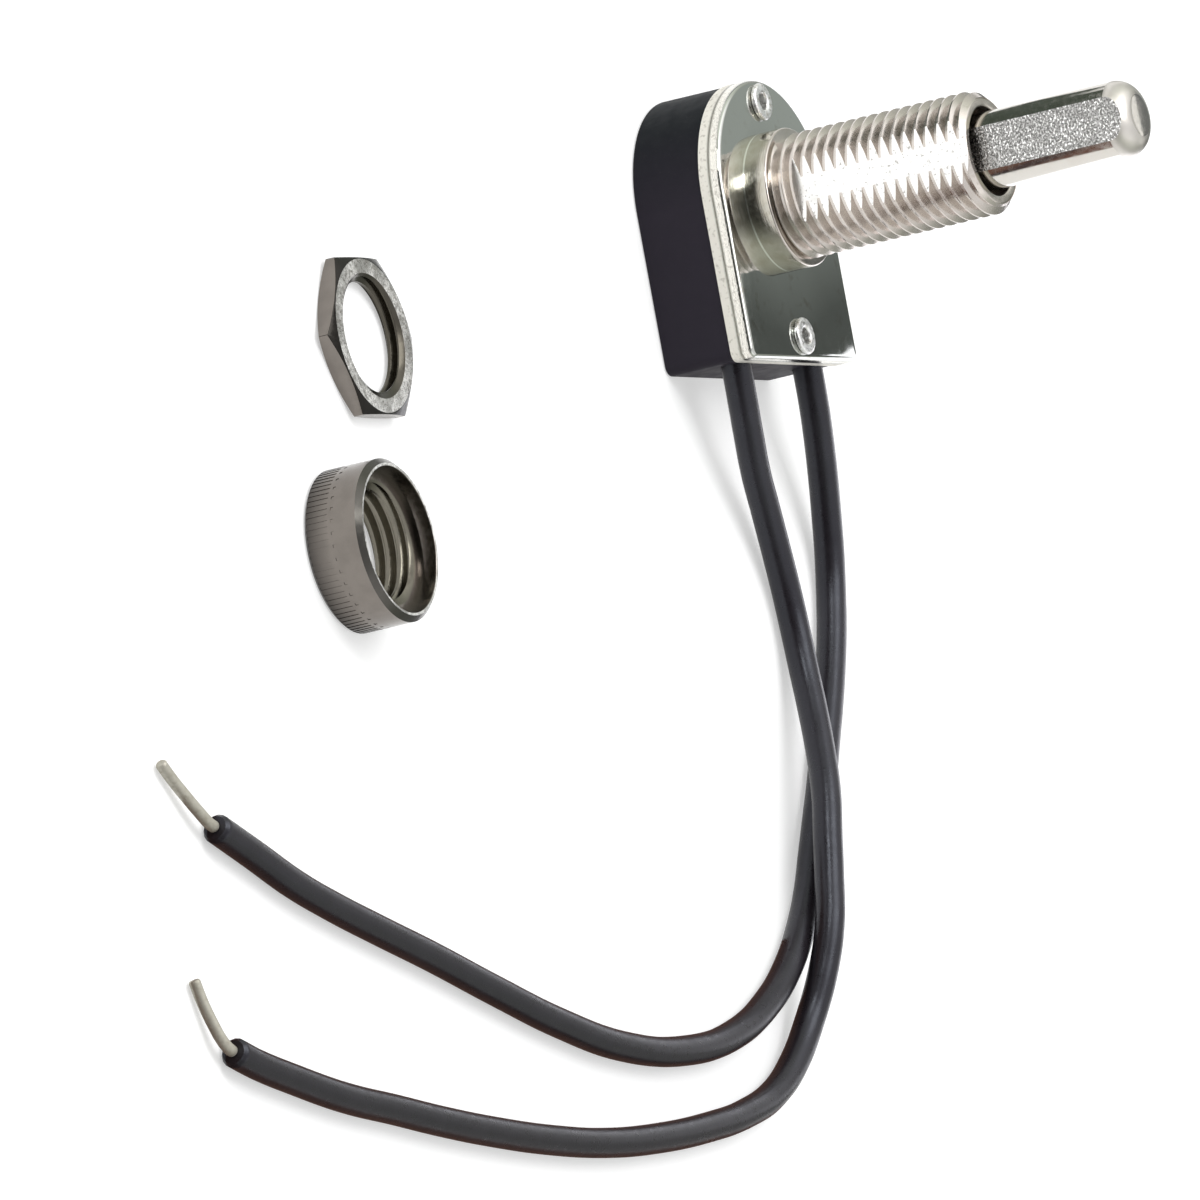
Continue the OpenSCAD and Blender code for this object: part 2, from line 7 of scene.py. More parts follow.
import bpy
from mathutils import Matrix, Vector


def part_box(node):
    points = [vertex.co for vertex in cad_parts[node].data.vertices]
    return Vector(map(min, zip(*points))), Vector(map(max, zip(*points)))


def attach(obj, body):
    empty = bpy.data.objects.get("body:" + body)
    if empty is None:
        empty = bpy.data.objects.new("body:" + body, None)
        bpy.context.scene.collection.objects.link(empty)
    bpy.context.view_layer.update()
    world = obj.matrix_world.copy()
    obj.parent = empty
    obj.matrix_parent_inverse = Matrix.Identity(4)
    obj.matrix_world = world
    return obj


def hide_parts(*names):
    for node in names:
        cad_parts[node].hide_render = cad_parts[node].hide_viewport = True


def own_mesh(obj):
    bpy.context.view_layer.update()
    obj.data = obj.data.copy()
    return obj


bl_info = {
    "name": "Pushbutton switch",
    "version": (1, 0, 0),
    "blender": (4, 5, 0),
    "location": "View3D > Sidebar > Switch",
    "description": "Models and finishes the visible pieces of a pushbutton switch",
    "category": "Object",
}

import math

import bmesh
import bpy
from bpy.props import FloatProperty, FloatVectorProperty, IntProperty, PointerProperty
from mathutils import Matrix, Vector

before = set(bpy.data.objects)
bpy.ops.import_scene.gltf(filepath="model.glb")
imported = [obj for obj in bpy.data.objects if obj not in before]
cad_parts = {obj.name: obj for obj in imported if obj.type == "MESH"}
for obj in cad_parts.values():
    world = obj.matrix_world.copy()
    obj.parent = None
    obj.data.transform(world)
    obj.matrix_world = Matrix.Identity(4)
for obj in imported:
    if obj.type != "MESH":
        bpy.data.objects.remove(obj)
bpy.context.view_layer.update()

MM = 0.001
WELD = 0.0005 * MM  # points nearer than this are one
PAST = 1 * MM  # length by which a cutter runs past the face it opens
LAP = 0.01 * MM  # length by which two cuts overlap
SINK = 0.2 * MM  # depth by which a piece is sunk into the one it joins
PLAY = 0.05 * MM  # room round a piece in its seat
TURN = 2 * math.pi

# Boxes of the solids that the pieces stand for
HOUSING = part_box("housing")
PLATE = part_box("front_plate")
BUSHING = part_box("bushing")
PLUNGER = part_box("plunger")
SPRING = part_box("return_spring")
HEX_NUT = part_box("hex_nut")
ROUND_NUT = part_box("round_nut")
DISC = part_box("insulator")

# Housing and plate
ARCH_Y = HOUSING[1].y - HOUSING[1].x
CORNER = 0.8 * MM
FLOOR_T = 1.2 * MM
POCKET_R = 5.9 * MM
PAD_HALF = 1.6 * MM  # half the width of the recess for the contact pads
PIN_R = 1 * MM
PIN_TOP = 4.3 * MM

# Rivets
RIVET_YS = {"top_rivet": 8.05 * MM, "bottom_rivet": -10.85 * MM}
RIVET_HOLE_R = 1.1 * MM
RIVET_SINK_R = 1.55 * MM
RIVET_SINK = 0.5 * MM  # depth of the sinks in the housing's back
SHANK_R = 1.05 * MM
TUBE_R = 0.65 * MM
FLARE_TOP = 0.45 * MM  # height of the flared back ends
FLARE_EDGE = 0.1 * MM

# Bushing
SPIGOT_R = 4.6 * MM
COLLAR_R = 5.6 * MM
COLLAR_TOP = PLATE[1].z + 2 * MM
BUSHING_LIP = 0.15 * MM  # rounding of its edges
END_BEVEL = 0.7 * MM
THREAD_R = 5 * MM
THREAD_FLANK = math.radians(30)
THREAD_SINK = 0.1 * MM  # depth of the ridge's base in the core
THREAD_START = COLLAR_TOP - 0.4 * MM
THREAD_FLAT_X = -4.3 * MM
FLAT_BOTTOM = PLATE[1].z + 4 * MM
MOUTH_R = 3.6 * MM
MOUTH_BOTTOM = BUSHING[1].z - 3 * MM
GUIDE_R = 3.15 * MM
GUIDE_BOTTOM = MOUTH_BOTTOM - 3 * MM
CHAMBER_R = 3.75 * MM

# Plunger
PLUNGER_R = 3.1 * MM
PLUNGER_EDGE = 0.1 * MM
TIP_R = 1.8 * MM
PLUNGER_FLAT_X = -2.55 * MM
PLUNGER_FLAT_BOTTOM = BUSHING[1].z - 1.8 * MM
FLANGE_R = 3.6 * MM
FLANGE_LOW = 19.4 * MM
FLANGE_TOP = 21 * MM
STEM_R = 1.7 * MM

# Spring
SPRING_WIRE = 0.45 * MM
SPRING_R = SPRING[1].x - SPRING_WIRE / 2
SPRING_TURNS = 9

# Nuts
NUT_BORE_R = 4.46 * MM
NUT_SINK = 0.3 * MM
NUT_MOUTH_R = 5.02 * MM
HEX_FACE_IN = 0.1 * MM  # how far the turned face stays inside the flats
HEX_TURN = 0.4 * MM  # height of the turned corners
HEX_SPARE = 0.02 * MM  # room between the corners and the shape that turns them
HEX_SOFT = 0.09 * MM  # rounding of the edges
ROUND_NUT_RIM = 0.7 * MM
ROUND_NUT_SEAT = 3.5 * MM
ROUND_EDGE = 0.25 * MM
ROUND_BEVEL = 0.45 * MM
ROUND_LIP = 0.1 * MM
ROUND_SKIN = 0.02 * MM  # depth within which a face belongs to the outside
KNURL_TOP = 2.1 * MM
DASH_LOW = 2.38 * MM
DASH_HIGH = 2.62 * MM
FACE_DEPTH = 0.05 * MM  # depth within which a face belongs to the top
BEVEL_BAND = 0.3 * MM  # width of the band at the rim that holds the bevel

# Parts of a face's normal that tell which finish it gets
SQUARE = 0.999  # along -X, from which a face is a milled flat
SIDE_RISE = 0.3  # along Z, below which a face is the plate's side
TIP_RISE = 0.98  # along Z, from which a face is the plunger's flat end
TOP_RISE = 0.95  # along Z, from which a face is the top of a nut
BEVEL_RISES = (0.3, 0.99)  # along Z, between which a face is the bevel of a nut
THREAD_RISE = 0.9  # along Z, below which a face is the thread of a nut

# Colours of the rivets, and of places that differ from the rest of their piece
EDGE_TONE = (0.78, 0.76, 0.7, 1)
MILLED_TONE = (0.95, 0.94, 0.92, 1)
COLLAR_TONE = (0.575, 0.55, 0.485, 1)
BUSHING_WORN = (0.5, 0.45, 0.39, 1)
PLUNGER_WORN = (0.55, 0.51, 0.46, 1)
SCRATCHED_TONE = (0.44, 0.435, 0.425, 1)
RIVET_TONE = (0.86, 0.86, 0.85, 1)
NUT_TOP_TONE = (0.95, 0.94, 0.92, 1)
# Painted shade: the next three are darker copies of the nut plating, for the bevels and the hexagon nut's
# bore.
HEX_BEVEL_PAINTED_SHADE = (0.03, 0.028, 0.025, 1)
HEX_THREAD_PAINTED_SHADE = (0.085, 0.078, 0.063, 1)
ROUND_BEVEL_PAINTED_SHADE = (0.085, 0.081, 0.073, 1)
ROUND_THREAD_TONE = (0.2, 0.187, 0.152, 1)

# Finishes of the pieces inside: name, colour, metallic, roughness, mottle, depth of the grain in
# millimetres, and the solids that have it
INNER_FINISHES = (
    ("natural_nylon", (0.75, 0.7, 0.58, 1), 0, 0.45, (0.66, 0.6, 0.46, 1), 0.006,
     ("drive_crown", "contact_wheel")),
    ("stamped_brass", (0.65, 0.5, 0.2, 1), 1, 0.26, (0.48, 0.34, 0.13, 1), 0.004,
     ("spring_retainer", "left_terminal", "right_terminal")),
    ("vulcanised_fibre", (0.26, 0.1, 0.05, 1), 0, 0.7, (0.2, 0.07, 0.035, 1), 0.02, ("insulator",)),
    ("bright_copper", (0.6, 0.3, 0.16, 1), 1, 0.24, (0.42, 0.18, 0.09, 1), 0.004, ("contact_bridge",)),
    ("spring_sheet", (0.5, 0.48, 0.44, 1), 1, 0.28, (0.38, 0.36, 0.33, 1), 0.003, ("wave_washer",)),
)

# Leads: where they leave the housing, in metres, and their centre lines, in millimetres. Across and
# along, a line is measured from there, and upwards from the floor. The bare strands go on from the far
# ends, and their points are measured from those.
EXIT_X = 6.3 * MM
EXIT_Y = HOUSING[0].y
LEAD_Z = 4.8 * MM
LEAD_R = 1.2 * MM
LEAD_END = 0.35 * MM  # length over which an end is drawn in
STRAND_R = 0.48 * MM
STRAND_END = 0.15 * MM
END_SHARE = 0.8  # thickness of a drawn-in end
CRIMP_Y = -4.5 * MM
LEAD_IN = 3.4  # length inside the housing, in millimetres
LEFT_ROUTE = [
    (0, LEAD_IN, 4.8), (0, -0.2, 4.8), (0.8, -2.8, 4.4), (2.2, -5.4, 3.7), (3.9, -8.2, 2.9),
    (5.9, -11.2, 2.2), (7.5, -14.4, 1.7), (8.6, -17.6, 1.4), (8.9, -20.8, 1.4), (8.5, -23.8, 1.7),
    (7.5, -26.9, 2.3), (5.9, -30.6, 3.1), (4.3, -34.2, 3.7), (3, -37.6, 3.8), (1.9, -41, 3.8),
    (0.6, -44.5, 3.8), (-0.7, -48.3, 3.1), (-2.5, -52.3, 1.9), (-5.4, -55.4, 1.4), (-9.4, -57.8, 1.2),
    (-15.2, -59.5, 1.2), (-22.1, -60.6, 1.2), (-31.2, -61.5, 1.2), (-40.5, -61.9, 1.2), (-49.9, -61.7, 1.2),
    (-59.2, -61.1, 1.2), (-67.8, -60.3, 1.2), (-75.5, -59.4, 1.2), (-84.2, -58.4, 1.2), (-92.2, -57, 1.2),
    (-98.1, -55.8, 1.2), (-101.4, -54.9, 1.2),
]
RIGHT_ROUTE = [
    (0, LEAD_IN, 4.8), (0, -0.2, 4.8), (0.8, -2.8, 4.4), (2, -5.4, 3.7), (3.2, -8.2, 2.9), (4.2, -11.2, 2.1),
    (4.7, -14.2, 1.5), (4.3, -17.4, 1.2), (3.2, -20.4, 1.2), (1.8, -23.4, 1.2), (0.3, -26.2, 1.2),
    (-1.6, -29.4, 1.2), (-3.5, -32.6, 1.2), (-5.5, -35.6, 1.2), (-7.5, -38.6, 1.2), (-9.5, -41.6, 1.2),
    (-12, -44.5, 1.2), (-15.6, -47.7, 1.2), (-20.4, -50.6, 1.2), (-27.4, -53.2, 1.2), (-36.3, -54.5, 1.2),
    (-47.2, -54.2, 1.2), (-57.4, -52.4, 1.2), (-67.4, -49.9, 1.2), (-77.5, -47.2, 1.2), (-85.2, -45.3, 1.2),
    (-93, -43.3, 1.2), (-98.7, -41.6, 1.2), (-104.5, -39.4, 1.2), (-110.2, -37.3, 1.2),
]
LEFT_BARE = [
    (0, 0, 0), (-0.7, 0.3, 0), (-1.4, 1, -0.1), (-2, 2.3, -0.3), (-2.6, 3.9, -0.5), (-3.2, 5.7, -0.6),
]
RIGHT_BARE = [
    (0, 0, 0), (-0.8, 0.3, 0), (-2, 1.2, -0.1), (-3.4, 2.5, -0.3), (-4.7, 3.8, -0.5), (-6, 5.1, -0.6),
]

# Camera: the directions of the picture's right and up, the point in its middle, the width it shows at
# the plate, how far the plate lies behind that point, and the nearest and farthest it sees
PICTURE_RIGHT = Vector((0.4489, -0.1793, 0.8754))
PICTURE_UP = Vector((-0.013, 0.9783, 0.207))
PICTURE_MIDDLE = Vector((-28.1, -30.8, 0)) * MM
PICTURE_WIDTH = 94.7 * MM
PLATE_BEHIND = 24.9 * MM
SENSOR_MM = 36
VIEW_NEAR = 0.1
VIEW_FAR = 20

# Floor: its width, how far it lies below the part, and how strongly it shows in reflections
FLOOR_WIDTH = 12
FLOOR_DROP = 0.02 * MM
FLOOR_GLOW = 0.45

# Room: colours from level to straight up, strength from the front to the back along X, and strength
# from side to side along Y
ROOM_COLOURS = (
    (0, (0.3, 0.3, 0.3)), (0.35, (0.355, 0.37, 0.335)), (0.5, (0.41, 0.43, 0.39)),
    (0.68, (0.85, 0.85, 0.85)), (1, (0.95, 0.95, 0.97)),
)
ROOM_FRONT, ROOM_BACK = (-0.9, 0.3), (-0.3, 3)
ROOM_SIDES = ((0.05, 0.65), (0.33, 1 / 3), (0.6, 1 / 3), (0.95, 0.9))

# Cards that only reflections show: two corners in millimetres, the glow, and the stretch of Y, in
# millimetres, over which a card brightens from its dim end
CARDS = (
    ("upper_flag", (-40, 45, 0.5), (25, 100, 0.5), (0.085, 0.105, 0.085), None),
    # Painted shadow: the next card is a dark sheet under the leads, seen only in reflections, that stands in
    # for their shadow on the floor.
    ("lead_shadow_flag", (-115, -95, 0.5), (-8, -48, 0.5), (0.2, 0.11, 0.085), None),
    ("plate_card", (60, -18, 20), (60, 32, 54), (0.44, 0.475, 0.45), (-4, 15)),
    ("nut_card", (60, -35, 62.5), (60, 20, 80), (1.25, 1.25, 1.23), None),
    ("lead_card", (50, -75, 0), (50, -9, 28), (2, 2, 2.1), None),
    ("tip_flag", (8, -3.5, 41.7), (8, 5.5, 44.4), (0.22, 0.23, 0.23), None),
    ("tip_card", (-40, -14, 41), (-40, 14, 90), (0.78, 0.77, 0.76), None),
    ("stem_flag", (5, 29, 12), (35, 56, 12), (0.1, 0.12, 0.1), None),
    ("far_flag", (80, -60, 0.5), (500, 80, 0.5), (0.1, 0.1, 0.1), None),
)
DIM_END = 0.25

# Lamps: where they are, their width and their power in watts
SOFTBOXES = (
    ("overhead_softbox", (-0.1, 0.25, 0.75), 0.5, 2.6),
    ("side_softbox", (-0.55, 0.5, 0.42), 0.25, 1.6),
)


class SwitchSizes(bpy.types.PropertyGroup):
    """Sizes of the details that the solids leave out"""

    housing_round: FloatProperty(
        name="Housing edges", description="Radius of the housing's moulded edges", default=0.25 * MM,
        unit="LENGTH", subtype="DISTANCE", precision=5)
    plate_round: FloatProperty(
        name="Plate edge", description="Radius of the plate's front edge", default=0.35 * MM,
        unit="LENGTH", subtype="DISTANCE", precision=5)
    pitch: FloatProperty(
        name="Thread pitch", description="Rise of the thread in one turn", default=1 * MM,
        unit="LENGTH", subtype="DISTANCE", precision=5)
    thread_depth: FloatProperty(
        name="Thread depth", description="Depth of the thread's grooves", default=0.59 * MM,
        unit="LENGTH", subtype="DISTANCE", precision=5)
    crest: FloatProperty(
        name="Thread crest", description="Width of the thread's flattened crests", default=0.12 * MM,
        unit="LENGTH", subtype="DISTANCE", precision=5)
    knurls: IntProperty(
        name="Knurls", description="Notches round the knurled band of the round nut", default=80, min=12)
    knurl_depth: FloatProperty(
        name="Knurl depth", description="Depth of those notches", default=0.04 * MM,
        unit="LENGTH", subtype="DISTANCE", precision=5)
    lens: FloatProperty(
        name="Lens", description="Focal length of the camera, in millimetres", default=1300,
        unit="CAMERA")


class SwitchColours(bpy.types.PropertyGroup):
    """Base colours of the visible finishes"""

    housing: FloatVectorProperty(
        name="Housing", description="Moulded plastic", subtype="COLOR", size=4,
        default=(0.0275, 0.0235, 0.0335, 1))
    plate: FloatVectorProperty(
        name="Plate", description="Polished nickel", subtype="COLOR", size=4, default=(0.56, 0.57, 0.54, 1))
    bushing: FloatVectorProperty(
        name="Bushing", description="Turned nickel-plated brass", subtype="COLOR", size=4,
        default=(0.61, 0.565, 0.525, 1))
    plunger: FloatVectorProperty(
        name="Plunger", description="Nickel-plated brass", subtype="COLOR", size=4,
        default=(0.62, 0.595, 0.555, 1))
    nut: FloatVectorProperty(
        name="Nuts", description="Dull nickel plating", subtype="COLOR", size=4,
        default=(0.2, 0.18, 0.162, 1))
    lead: FloatVectorProperty(
        name="Leads", description="Vinyl insulation", subtype="COLOR", size=4,
        default=(0.0125, 0.0098, 0.0125, 1))
    strand: FloatVectorProperty(
        name="Strands", description="Tinned copper", subtype="COLOR", size=4, default=(0.46, 0.44, 0.38, 1))
    floor: FloatVectorProperty(
        name="Floor", description="Studio floor", subtype="COLOR", size=4, default=(0.62, 0.62, 0.62, 1))


# Modelling helpers


def deselect():
    """Go to object mode with nothing selected."""
    if bpy.context.mode != "OBJECT":
        bpy.ops.object.mode_set(mode="OBJECT")
    bpy.ops.object.select_all(action="DESELECT")


def activate(piece):
    """Select this piece alone and make it the active one."""
    deselect()
    piece.select_set(True)
    bpy.context.view_layer.objects.active = piece


def edit(piece):
    """Open the piece in edit mode with everything selected."""
    activate(piece)
    bpy.ops.object.mode_set(mode="EDIT")
    bpy.ops.mesh.select_mode(type="VERT")
    bpy.ops.mesh.select_all(action="SELECT")


def leave():
    """Go back to object mode."""
    bpy.ops.object.mode_set(mode="OBJECT")


def named(name):
    """Name the active object and its data, and return it."""
    piece = bpy.context.object
    piece.name = piece.data.name = name
    return piece


def pick(piece, kind, test):
    """Select the vertices, edges or faces of a piece in edit mode that pass the test."""
    bpy.ops.mesh.select_mode(type=kind)
    bpy.ops.mesh.select_all(action="DESELECT")
    mesh = bmesh.from_edit_mesh(piece.data)
    parts = {"VERT": mesh.verts, "EDGE": mesh.edges, "FACE": mesh.faces}[kind]
    for part in parts:
        if test(part):
            part.select_set(True)
    mesh.select_flush_mode()
    bmesh.update_edit_mesh(piece.data)


def round_edges(piece, height, radius, segments):
    """Round the edges of a piece that lie flat at that height."""
    edit(piece)
    pick(piece, "EDGE", lambda e: all(abs(v.co.z - height) < WELD for v in e.verts))
    bpy.ops.mesh.bevel(offset=radius, segments=segments, affect="EDGES")
    leave()


def close_skin():
    """Merge doubles and point all faces outwards, in edit mode."""
    bpy.ops.mesh.select_all(action="SELECT")
    bpy.ops.mesh.remove_doubles(threshold=WELD)
    bpy.ops.mesh.normals_make_consistent(inside=False)


def wire_outline(name, outline):
    """Chain of edges through (radius, height) points in the XZ plane, left open in edit mode."""
    deselect()
    bpy.ops.mesh.primitive_plane_add(size=MM)
    piece = named(name)
    edit(piece)
    bpy.ops.mesh.merge(type="CENTER")
    bpy.ops.transform.translate(value=(outline[0][0], 0, outline[0][1]))
    for (r0, z0), (r1, z1) in zip(outline, outline[1:]):
        bpy.ops.mesh.extrude_vertices_move(TRANSFORM_OT_translate={"value": (r1 - r0, 0, z1 - z0)})
    bpy.ops.mesh.select_all(action="SELECT")
    bpy.ops.mesh.remove_doubles(threshold=WELD)
    bpy.ops.mesh.select_all(action="SELECT")
    return piece


def turned(name, outline, steps):
    """Solid of revolution round Z. An outline that doesn't start on the axis is closed on itself."""
    piece = wire_outline(name, outline if outline[0][0] == 0 else outline + outline[:1])
    bpy.ops.mesh.spin(steps=steps, angle=TURN, center=(0, 0, 0), axis=(0, 0, 1))
    close_skin()
    leave()
    return piece


def arc(centre, radius, start, end, steps):
    """Points of an arc in (radius, height), between two angles in degrees."""
    angles = [math.radians(start + (end - start) * i / steps) for i in range(steps + 1)]
    return [(centre[0] + radius * math.cos(a), centre[1] + radius * math.sin(a)) for a in angles]


def screwed(piece, rise, turns, steps):
    """Sweep an outline that is open in edit mode up a right-handed helix round Z, and cap its ends."""
    leave()
    sweep = piece.modifiers.new("sweep", "SCREW")
    sweep.axis = "Z"
    sweep.angle = TURN
    sweep.screw_offset = rise
    sweep.iterations = turns
    sweep.steps = sweep.render_steps = steps
    bpy.ops.object.modifier_apply(modifier=sweep.name)
    edit(piece)
    bpy.ops.mesh.fill_holes(sides=0)
    close_skin()
    leave()
    return piece


def block(name, low, high):
    """Box between two corners."""
    deselect()
    bpy.ops.mesh.primitive_cube_add(size=1)
    piece = named(name)
    edit(piece)
    low, high = Vector(low), Vector(high)
    bpy.ops.transform.resize(value=high - low)
    bpy.ops.transform.translate(value=(low + high) / 2)
    leave()
    return piece


def rod(name, radius, low, high, at=(0, 0), sides=64):
    """Round cutter, upright."""
    deselect()
    bpy.ops.mesh.primitive_cylinder_add(vertices=sides, radius=radius, depth=high - low)
    piece = named(name)
    edit(piece)
    bpy.ops.transform.translate(value=(at[0], at[1], (low + high) / 2))
    leave()
    return piece


def combine(piece, tool, operation):
    """Apply a boolean with another piece, which is used up."""
    activate(piece)
    join = piece.modifiers.new("join", "BOOLEAN")
    join.operation = operation
    join.object = tool
    join.solver = "MANIFOLD"
    bpy.ops.object.modifier_apply(modifier=join.name)
    bpy.data.objects.remove(tool, do_unlink=True)
    if not piece.data.polygons:
        raise RuntimeError(f"Nothing is left of {piece.name} after a boolean")


def mill_flat(piece, radius, x, low, top):
    """Cut a flat into the -X side of a round piece, from a height to past its top."""
    cutter = block("flat", (-radius - PAST, -radius, low), (x, radius, top + PAST))
    combine(piece, cutter, "DIFFERENCE")


def place(piece, offset):
    """Move the mesh, and leave the object at the origin."""
    edit(piece)
    bpy.ops.transform.translate(value=offset)
    leave()


def outlined(name, box):
    """Block with the switch's outline: a straight end with small corners and a round end."""
    low, high = box[0].z, box[1].z
    half = box[1].x
    drop = -box[0].y
    deselect()
    bpy.ops.mesh.primitive_circle_add(vertices=160, radius=half, fill_type="NGON")
    piece = named(name)
    edit(piece)
    bpy.ops.mesh.bisect(plane_co=(0, 0, 0), plane_no=(0, 1, 0), clear_inner=True, threshold=WELD)
    bpy.ops.mesh.select_all(action="SELECT")
    bpy.ops.transform.translate(value=(0, ARCH_Y, low))
    pick(piece, "EDGE", lambda e: all(abs(v.co.y - ARCH_Y) < WELD for v in e.verts))
    bpy.ops.mesh.extrude_region_move(TRANSFORM_OT_translate={"value": (0, -ARCH_Y - drop, 0)})
    pick(piece, "VERT", lambda v: abs(v.co.y + drop) < WELD)
    bpy.ops.mesh.bevel(offset=CORNER, segments=8, affect="VERTICES")
    bpy.ops.mesh.select_all(action="SELECT")
    bpy.ops.mesh.dissolve_limited(angle_limit=math.radians(0.5))
    bpy.ops.mesh.select_all(action="SELECT")
    bpy.ops.mesh.extrude_region_move(TRANSFORM_OT_translate={"value": (0, 0, high - low)})
    close_skin()
    leave()
    return piece


def smooth(piece, degrees=32):
    """Shade a piece smooth, apart from the edges that bend by more than that angle."""
    activate(piece)
    bpy.ops.object.shade_smooth_by_angle(angle=math.radians(degrees))


def dress(piece, body, slot, nodes, *finishes):
    """Give a finished piece its materials and its body, and hide the solids it stands for."""
    piece.data.materials.clear()
    for finish in finishes:
        piece.data.materials.append(finish)
    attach(piece, body)
    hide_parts(*nodes)


def paint(piece, index, test):
    """Give the faces that pass the test the material in that slot."""
    for face in piece.data.polygons:
        if test(face):
            face.material_index = index


def on_flat(face, x):
    """Whether a face belongs to the flat that is milled at that x."""
    return face.normal.x < -SQUARE and abs(face.center.x - x) < WELD


# Finishes


class Graph:
    """Nodes of a material or of the world."""

    def __init__(self, owner):
        owner.use_nodes = True
        self.nodes = owner.node_tree.nodes
        self.links = owner.node_tree.links

    def add(self, kind, inputs=None, **settings):
        """New node. An input that is given a socket is linked to it, and any other is set."""
        node = self.nodes.new(f"ShaderNode{kind}")
        for key, value in settings.items():
            setattr(node, key, value)
        for key, value in (inputs or {}).items():
            if isinstance(value, bpy.types.NodeSocket):
                self.links.new(value, node.inputs[key])
            else:
                node.inputs[key].default_value = value
        return node

    def combined(self, operation, first, second):
        """Two values put together by a mathematical operation."""
        return self.add("Math", {0: first, 1: second}, operation=operation).outputs[0]

    def spread(self, source, from_low, from_high, to_low, to_high):
        """Rescale a value, clamped to its new range."""
        ranges = {"From Min": from_low, "From Max": from_high, "To Min": to_low, "To Max": to_high}
        return self.add("MapRange", {"Value": source, **ranges}).outputs["Result"]

    def along(self, vector, axis):
        """One coordinate of a vector."""
        return self.add("SeparateXYZ", {0: vector}).outputs[axis]

    def ramp(self, value, stops):
        """Colour for a value, between stops that each have a place and a colour."""
        node = self.add("ValToRGB", {"Fac": value})
        stretch = node.color_ramp.elements
        for index, (stop, colour) in ((0, stops[0]), (1, stops[-1])):
            stretch[index].position = stop
            stretch[index].color = (*colour, 1)
        for stop, colour in stops[1:-1]:
            stretch.new(stop).color = (*colour, 1)
        return node.outputs["Color"]


class Finish(Graph):
    """One procedural material. Its patterns are on Object coordinates, with sizes in millimetres.

    The roughness given here is the plain one, which a pattern replaces.
    """

    def __init__(self, name, colour, metallic, roughness):
        self.material = bpy.data.materials.new(name)
        super().__init__(self.material)
        self.shader = self.nodes["Principled BSDF"]
        self.fix("Base Color", colour)
        self.fix("Metallic", metallic)
        self.fix("Roughness", roughness)
        self.where = self.add("TexCoord").outputs["Object"]

    def fix(self, key, value):
        """Set one of the shader's own values."""
        self.shader.inputs[key].default_value = value

    def height(self):
        """Height of the surface point, in metres."""
        return self.along(self.where, "Z")

    def patches(self, size, band, span=(0, 1), detail=4, stretch=None):
        """Value that goes over the span where noise of that size goes through the band."""
        return self.spread(self.noise(size, detail, stretch), *band, *span)

    def noise(self, size, detail, stretch):
        """Noise with features of about that size, which may be stretched along the axes."""
        where = self.where
        if stretch:
            where = self.add("Mapping", {"Scale": stretch, "Vector": where}).outputs["Vector"]
        pattern = {"Scale": 1 / (size * MM), "Detail": detail, "Vector": where}
        return self.add("TexNoise", pattern).outputs["Fac"]

    def tint(self, share, colour):
        """Mix another colour over the base colour by a share from 0 to 1."""
        base = self.shader.inputs["Base Color"]
        under = base.links[0].from_socket if base.is_linked else base.default_value
        mix = self.add("Mix", {"Factor": share, "A": under, "B": colour}, data_type="RGBA")
        self.links.new(mix.outputs["Result"], base)

    def mottle(self, size, band, share, colour, detail=4):
        """Patches of another colour, up to that share."""
        self.tint(self.patches(size, band, (0, share), detail), colour)

    def gloss(self, value):
        """Drive the roughness by a value."""
        self.links.new(value, self.shader.inputs["Roughness"])

    def sheen(self, size, roughness, band=(0.3, 0.7), detail=4):
        """Patches of roughness from one value to another."""
        self.gloss(self.patches(size, band, roughness, detail))

    def grain(self, size, depth, detail=3, stretch=None):
        """Relief of that depth, over any relief already there."""
        normal = self.shader.inputs["Normal"]
        relief = {"Strength": 1, "Distance": depth * MM, "Height": self.noise(size, detail, stretch)}
        if normal.is_linked:
            relief["Normal"] = normal.links[0].from_socket
        self.links.new(self.add("Bump", relief).outputs["Normal"], normal)


def moulded_plastic(colour):
    """Plastic of the housing, with painted shade that darkens its arched end."""
    finish = Finish("moulded_plastic", colour, metallic=0, roughness=0.5)
    finish.fix("Specular IOR Level", 0.1)
    # Painted shade: the arched end is darkened and made colder to offset the light that falls on it from
    # above.
    painted_shade = finish.spread(finish.along(finish.where, "Y"), 0, 7 * MM, 0, 1)
    finish.tint(painted_shade, (0.004, 0.006, 0.0085, 1))
    finish.mottle(size=0.25, band=(0.62, 0.75), share=0.25, colour=(0.03, 0.028, 0.03, 1), detail=2)
    finish.sheen(size=1.2, roughness=(0.5, 0.62))
    finish.grain(size=0.12, depth=0.004)
    return finish.material


def polished_nickel(colour):
    """Polished plating of the plate, with faint stains."""
    finish = Finish("polished_nickel", colour, metallic=1, roughness=0.09)
    spots = finish.patches(size=1.1, band=(0.56, 0.7))
    clouds = finish.patches(size=5, band=(0.45, 0.65), span=(0, 0.5), detail=1)
    finish.tint(finish.combined("MULTIPLY", spots, clouds), (0.36, 0.32, 0.26, 1))
    finish.sheen(size=0.8, roughness=(0.04, 0.1), band=(0.3, 0.75))
    finish.grain(size=4, depth=0.005, detail=2)
    finish.grain(size=0.15, depth=0.0006, stretch=(1, 0.15, 1))
    return finish.material


